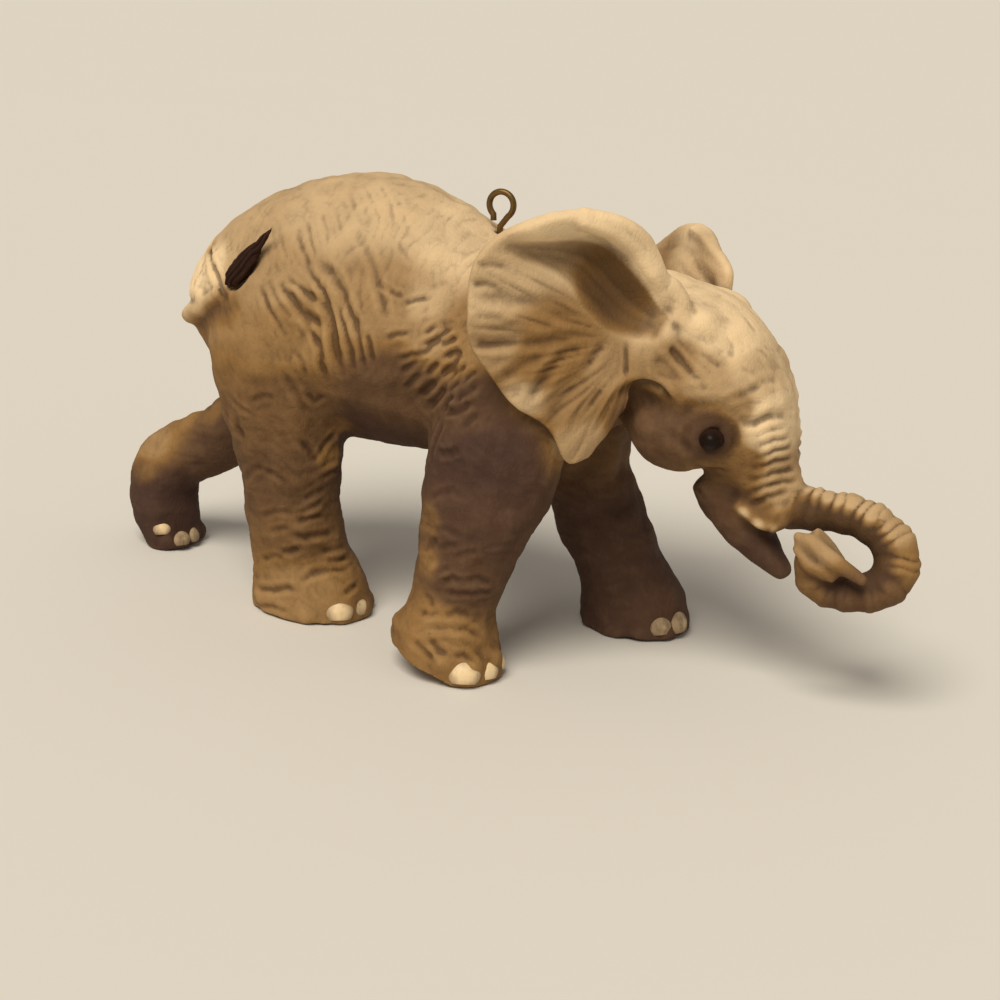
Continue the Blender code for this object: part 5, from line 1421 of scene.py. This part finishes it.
def eye_paint(small):
    """Wet black-brown gloss with a trace of brown round the rim."""
    paint = Paint("bead_eye")
    cloud = paint.noise(paint.where(), 900.0, 2.0)
    rim = paint.painted("edge")
    brown = (rim * 0.8 + (cloud - 0.5) * 0.3).held()
    colour = paint.mix(brown, tint(small.eye_colour), BEAD_RIM_COLOUR)
    return paint.finish(base_color=colour, roughness=0.38 + rim * 0.25 + (cloud - 0.5) * 0.06,
                        specular_ior_level=0.09)


class CALF_OT_eyes(bpy.types.Operator):
    """Set a domed black bead in each eye socket"""
    bl_idname = "calf.eyes"
    bl_label = "Eyes"

    def execute(self, context):
        paint = eye_paint(context.scene.calf_small)
        ahead, aside, upward = EYE_WAY
        for name, middle, side in (("right_eye", EYES[0], -1), ("left_eye", EYES[1], 1)):
            bpy.ops.mesh.primitive_uv_sphere_add(segments=48, ring_count=32, radius=1, location=(0, 0, 0))
            bead = bpy.context.object
            edge = bead.data.attributes.new("edge", "FLOAT", "POINT")
            for vertex, mark in zip(bead.data.vertices, edge.data):
                point = vertex.co
                ring = math.hypot(point.x, point.y)
                if point.z > 0:
                    point.z += BEAD_BULGE * max(0, 1 - (ring / BEAD_CROWN) ** 2)
                mark.value = within((ring - BEAD_CROWN) / BEAD_RIM)
            out = Vector((ahead, side * aside, upward)).normalized()
            turn = out.to_track_quat("Z", "Y").to_matrix().to_4x4()
            size = Matrix.Diagonal((EYE_RADIUS * MM, EYE_RADIUS * EYE_HEIGHT * MM, EYE_RADIUS * MM, 1))
            bead.data.transform(Matrix.Translation(spot(*middle)) @ turn @ size)
            bead.name = bead.data.name = "bead_" + name
            settle(bead, paint, (name,))
        return {"FINISHED"}


# The tuft: its foot, the way its hair lies, how much it is narrowed, and how far it is moved
TUFT_FOOT = (-34.97, -12.9, 43.8)
TUFT_WAY = (0.60, -0.02, 0.80)
TUFT_NARROWED = 0.28
TUFT_MOVED = np.array((0.5, 0.0, 0.5))
TUFT_GRAIN = 0.10
TUFT_ROUNDS = 8
# Its locks and its single hairs: the pitch across and the relief
LOCK_PITCH = 0.62
LOCK_RELIEF = 0.22
HAIR_PITCH = 0.22
HAIR_RELIEF = 0.10
# Paler brown painted along the hairs' ridges: a painted sheen
HAIR_SHEEN = (0.050, 0.020, 0.009, 1.0)


def tuft_paint(small):
    """Black-brown paint, with paler brown along the hairs as a painted sheen, and smoother there."""
    paint = Paint("painted_tuft")
    strand = paint.painted("strand")
    speck = paint.noise(paint.where(), 1400.0, 3.0)
    streak = (strand * 0.8 + (speck - 0.5) * 0.8).held()
    colour = paint.mix(streak, tint(small.tuft_colour), HAIR_SHEEN)
    bump = paint.bump(speck, 0.4, 0.00008)
    return paint.finish(base_color=colour, roughness=0.78 - strand * 0.12, normal=bump,
                        specular_ior_level=0.12)


class CALF_OT_tuft(bpy.types.Operator):
    """Groove the tail's tuft into locks of hair"""
    bl_idname = "calf.tuft"
    bl_label = "Tail tuft"

    def execute(self, context):
        lock = node_copy("tail_tuft", "hair_tuft")
        knead(lock, TUFT_GRAIN * MM, TUFT_ROUNDS)
        apply_steps(lock)
        clay = Clay(lock)
        way = unit(TUFT_WAY)
        side = unit(np.cross(way, (0.0, 1.0, 0.0)))
        local = clay.points - TUFT_FOOT
        clay.points -= (local @ side)[:, None] * side * TUFT_NARROWED
        clay.points += TUFT_MOVED
        clay.renew()
        local = clay.points - TUFT_MOVED - TUFT_FOOT
        along = local @ way
        across = local @ side + 0.25 * ripple(np.stack([along / 2.4, local[:, 1], along * 0], 1), 3)
        groove = np.abs(np.sin(across / LOCK_PITCH * math.pi + local[:, 1] * 0.8))
        fine = np.abs(ripple(np.stack([across / HAIR_PITCH, along / 2.2, local[:, 1] / 0.8], 1), 4))
        clay.push((groove ** 0.7 - 0.6) * LOCK_RELIEF + (fine - 0.25) * HAIR_RELIEF)
        clay.renew()
        strand = lock.data.attributes.new("strand", "FLOAT", "POINT")
        strand.data.foreach_set("value", np.clip(groove * 0.7 + fine * 0.8 - 0.35, 0, 1))
        settle(lock, tuft_paint(context.scene.calf_small), ("tail_tuft",))
        return {"FINISHED"}


# The wire eye: where it leaves the back, its shank's points below and above, its loop, and its cut end
HANGER_FOOT = (-2.6, 0.0, 53.9)
SHANK = ((0, 0, -7), (0, 0, -3.5), (0, 0, 0), (0.03, 0, 0.5))
LOOP_RADIUS = 1.65
LOOP_LIFT = 1.6
LOOP_TURN = (-52, 232)
LOOP_STEPS = 40
LOOP_SAG = 0.05
WIRE_END = (-0.95, 0.0, 1.15)
FLAT_ANGLE = math.radians(40)
TARNISH = (0.075, 0.042, 0.020, 1.0)


def brass_metal(small):
    """Aged brass wire: brown tarnish in patches, less metallic and rougher where it is tarnished."""
    paint = Paint("aged_brass_wire")
    where = paint.where()
    cloud = paint.noise(where, 850.0, 4.0, 0.65)
    speck = paint.noise(where, 3600.0, 2.0)
    tarnish = ((cloud - 0.38) * 3.0).held()
    colour = paint.mix(tarnish * 0.8, tint(small.brass), TARNISH)
    return paint.finish(base_color=colour, metallic=1.0 - tarnish * 0.35, roughness=0.36 + tarnish * 0.25,
                        normal=paint.bump(speck, 0.3, 0.00004))


class CALF_OT_hanger(bpy.types.Operator):
    """Bend the wire eye and sink its shank in the back"""
    bl_idname = "calf.hanger"
    bl_label = "Hanging eye"

    def execute(self, context):
        small = context.scene.calf_small
        foot = np.array(HANGER_FOOT)
        middle = foot + (0, 0, LOOP_LIFT + LOOP_RADIUS)
        line = [foot + step for step in SHANK]
        for degrees in np.linspace(*LOOP_TURN, LOOP_STEPS):
            ahead, upward = math.cos(math.radians(degrees)), math.sin(math.radians(degrees))
            sag = 1 + LOOP_SAG * max(0, -upward)
            line.append(middle + np.array((ahead * LOOP_RADIUS, 0, upward * LOOP_RADIUS * sag)))
        line.append(foot + WIRE_END)
        bpy.ops.curve.primitive_bezier_curve_add(radius=MM, location=(0, 0, 0))
        wire = bpy.context.object
        wire.data.splines.clear()
        spline = wire.data.splines.new("POLY")
        spline.points.add(len(line) - 1)
        for knot, point in zip(spline.points, line):
            knot.co = (*spot(*point), 1)
        wire.data.dimensions = "3D"
        wire.data.bevel_depth = small.wire / 2
        wire.data.bevel_resolution = 6
        wire.data.use_fill_caps = True
        pick(wire)
        bpy.ops.object.convert(target="MESH")
        wire = bpy.context.object
        edit_whole(wire, bpy.ops.mesh.remove_doubles, threshold=WELD)
        edit_whole(wire, bpy.ops.mesh.normals_make_consistent, inside=False)
        wire.name = wire.data.name = "wire_eye"
        settle(wire, brass_metal(small), ("hanger_eye",), FLAT_ANGLE)
        return {"FINISHED"}


# Stage

FLOOR_SIZE = 6
# The floor lies this little below the soles, so that the two never flicker
FLOOR_DEPTH = -0.0001
ROOM_COLOUR = (1.0, 0.94, 0.86, 1.0)
ROOM_STRENGTH = 0.36
LAMP_PLACE = (-0.3, -0.2, 0.6)
LAMP_WAY = (0.0, 0.74, -1.0)
LAMP_COLOUR = (1.0, 0.94, 0.84)
LAMP_WIDTH = math.radians(32)
AIM_HEIGHT = 18.3
LENS = 76.6
SENSOR = 36
NEAREST_SEEN = 0.01


class CALF_OT_stage(bpy.types.Operator):
    """Lay a pale floor, hang soft lamps and place the camera at the photograph's angle"""
    bl_idname = "calf.stage"
    bl_label = "Stage"

    def execute(self, context):
        scene = context.scene
        look = scene.calf_stage
        paint = Paint("pale_floor")
        cloud = paint.noise(paint.where(), 12.0, 3.0)
        colour = paint.mix(cloud * 0.10, tint(look.floor), tint([share * 0.9 for share in look.floor]))
        floor_material = paint.finish(base_color=colour, roughness=0.9, specular_ior_level=0.1)
        bpy.ops.mesh.primitive_plane_add(size=FLOOR_SIZE, location=(0, 0, FLOOR_DEPTH))
        floor = bpy.context.object
        floor.name = floor.data.name = "floor"
        floor.data.transform(Matrix.Translation(floor.location))
        floor.location = (0, 0, 0)
        floor.data.materials.append(floor_material)

        world = bpy.data.worlds.new("soft_room")
        scene.world = world
        world.use_nodes = True
        ground = world.node_tree.nodes["Background"]
        ground.inputs["Color"].default_value = ROOM_COLOUR
        ground.inputs["Strength"].default_value = ROOM_STRENGTH
        bpy.ops.object.light_add(type="SUN", location=LAMP_PLACE)
        lamp = bpy.context.object
        lamp.name = "key_lamp"
        lamp.data.energy = look.key
        lamp.data.angle = LAMP_WIDTH
        lamp.data.color = LAMP_COLOUR
        lamp.rotation_euler = Vector(LAMP_WAY).to_track_quat("-Z", "Y").to_euler()

        aim = spot(0, 0, AIM_HEIGHT)
        back = Vector((math.sin(look.bearing) * math.cos(look.height),
                       -math.cos(look.bearing) * math.cos(look.height), math.sin(look.height)))
        level = (-back).cross(Vector((0, 0, 1))).normalized()
        upward = level.cross(-back).normalized()
        across = level * math.cos(look.roll) + upward * math.sin(look.roll)
        upright = upward * math.cos(look.roll) - level * math.sin(look.roll)
        bpy.ops.object.camera_add()
        camera = bpy.context.object
        camera.name = "camera"
        turn = Matrix((across, upright, back)).transposed().to_4x4()
        camera.matrix_world = Matrix.Translation(aim + back * look.distance) @ turn
        camera.data.lens = LENS
        camera.data.sensor_width = SENSOR
        camera.data.clip_start = NEAREST_SEEN
        scene.camera = camera
        scene.view_settings.view_transform = "Standard"
        return {"FINISHED"}


class CALF_PT_panel(bpy.types.Panel):
    """Lists what may be changed on the calf, and the steps that build it"""
    bl_idname = "CALF_PT_panel"
    bl_label = "Elephant calf"
    bl_space_type = "VIEW_3D"
    bl_region_type = "UI"
    bl_category = "Calf"

    def draw(self, context):
        scene = context.scene
        for holder in (scene.calf_hide, scene.calf_small, scene.calf_stage):
            column = self.layout.column()
            for name in holder.bl_rna.properties.keys():
                if name not in ("rna_type", "name"):
                    column.prop(holder, name)
        for step in STEPS:
            self.layout.operator(step.bl_idname)


STEPS = (CALF_OT_skin, CALF_OT_toenails, CALF_OT_eyes, CALF_OT_tuft, CALF_OT_hanger, CALF_OT_stage)
CLASSES = (HideLook, SmallParts, StageLook, *STEPS, CALF_PT_panel)


def register():
    for kind in CLASSES:
        bpy.utils.register_class(kind)
    bpy.types.Scene.calf_hide = PointerProperty(type=HideLook)
    bpy.types.Scene.calf_small = PointerProperty(type=SmallParts)
    bpy.types.Scene.calf_stage = PointerProperty(type=StageLook)


def unregister():
    del bpy.types.Scene.calf_hide
    del bpy.types.Scene.calf_small
    del bpy.types.Scene.calf_stage
    for kind in reversed(CLASSES):
        bpy.utils.unregister_class(kind)


def main():
    register()
    bpy.ops.calf.skin()
    bpy.ops.calf.toenails()
    bpy.ops.calf.eyes()
    bpy.ops.calf.tuft()
    bpy.ops.calf.hanger()
    bpy.ops.calf.stage()


if __name__ == "__main__":
    main()
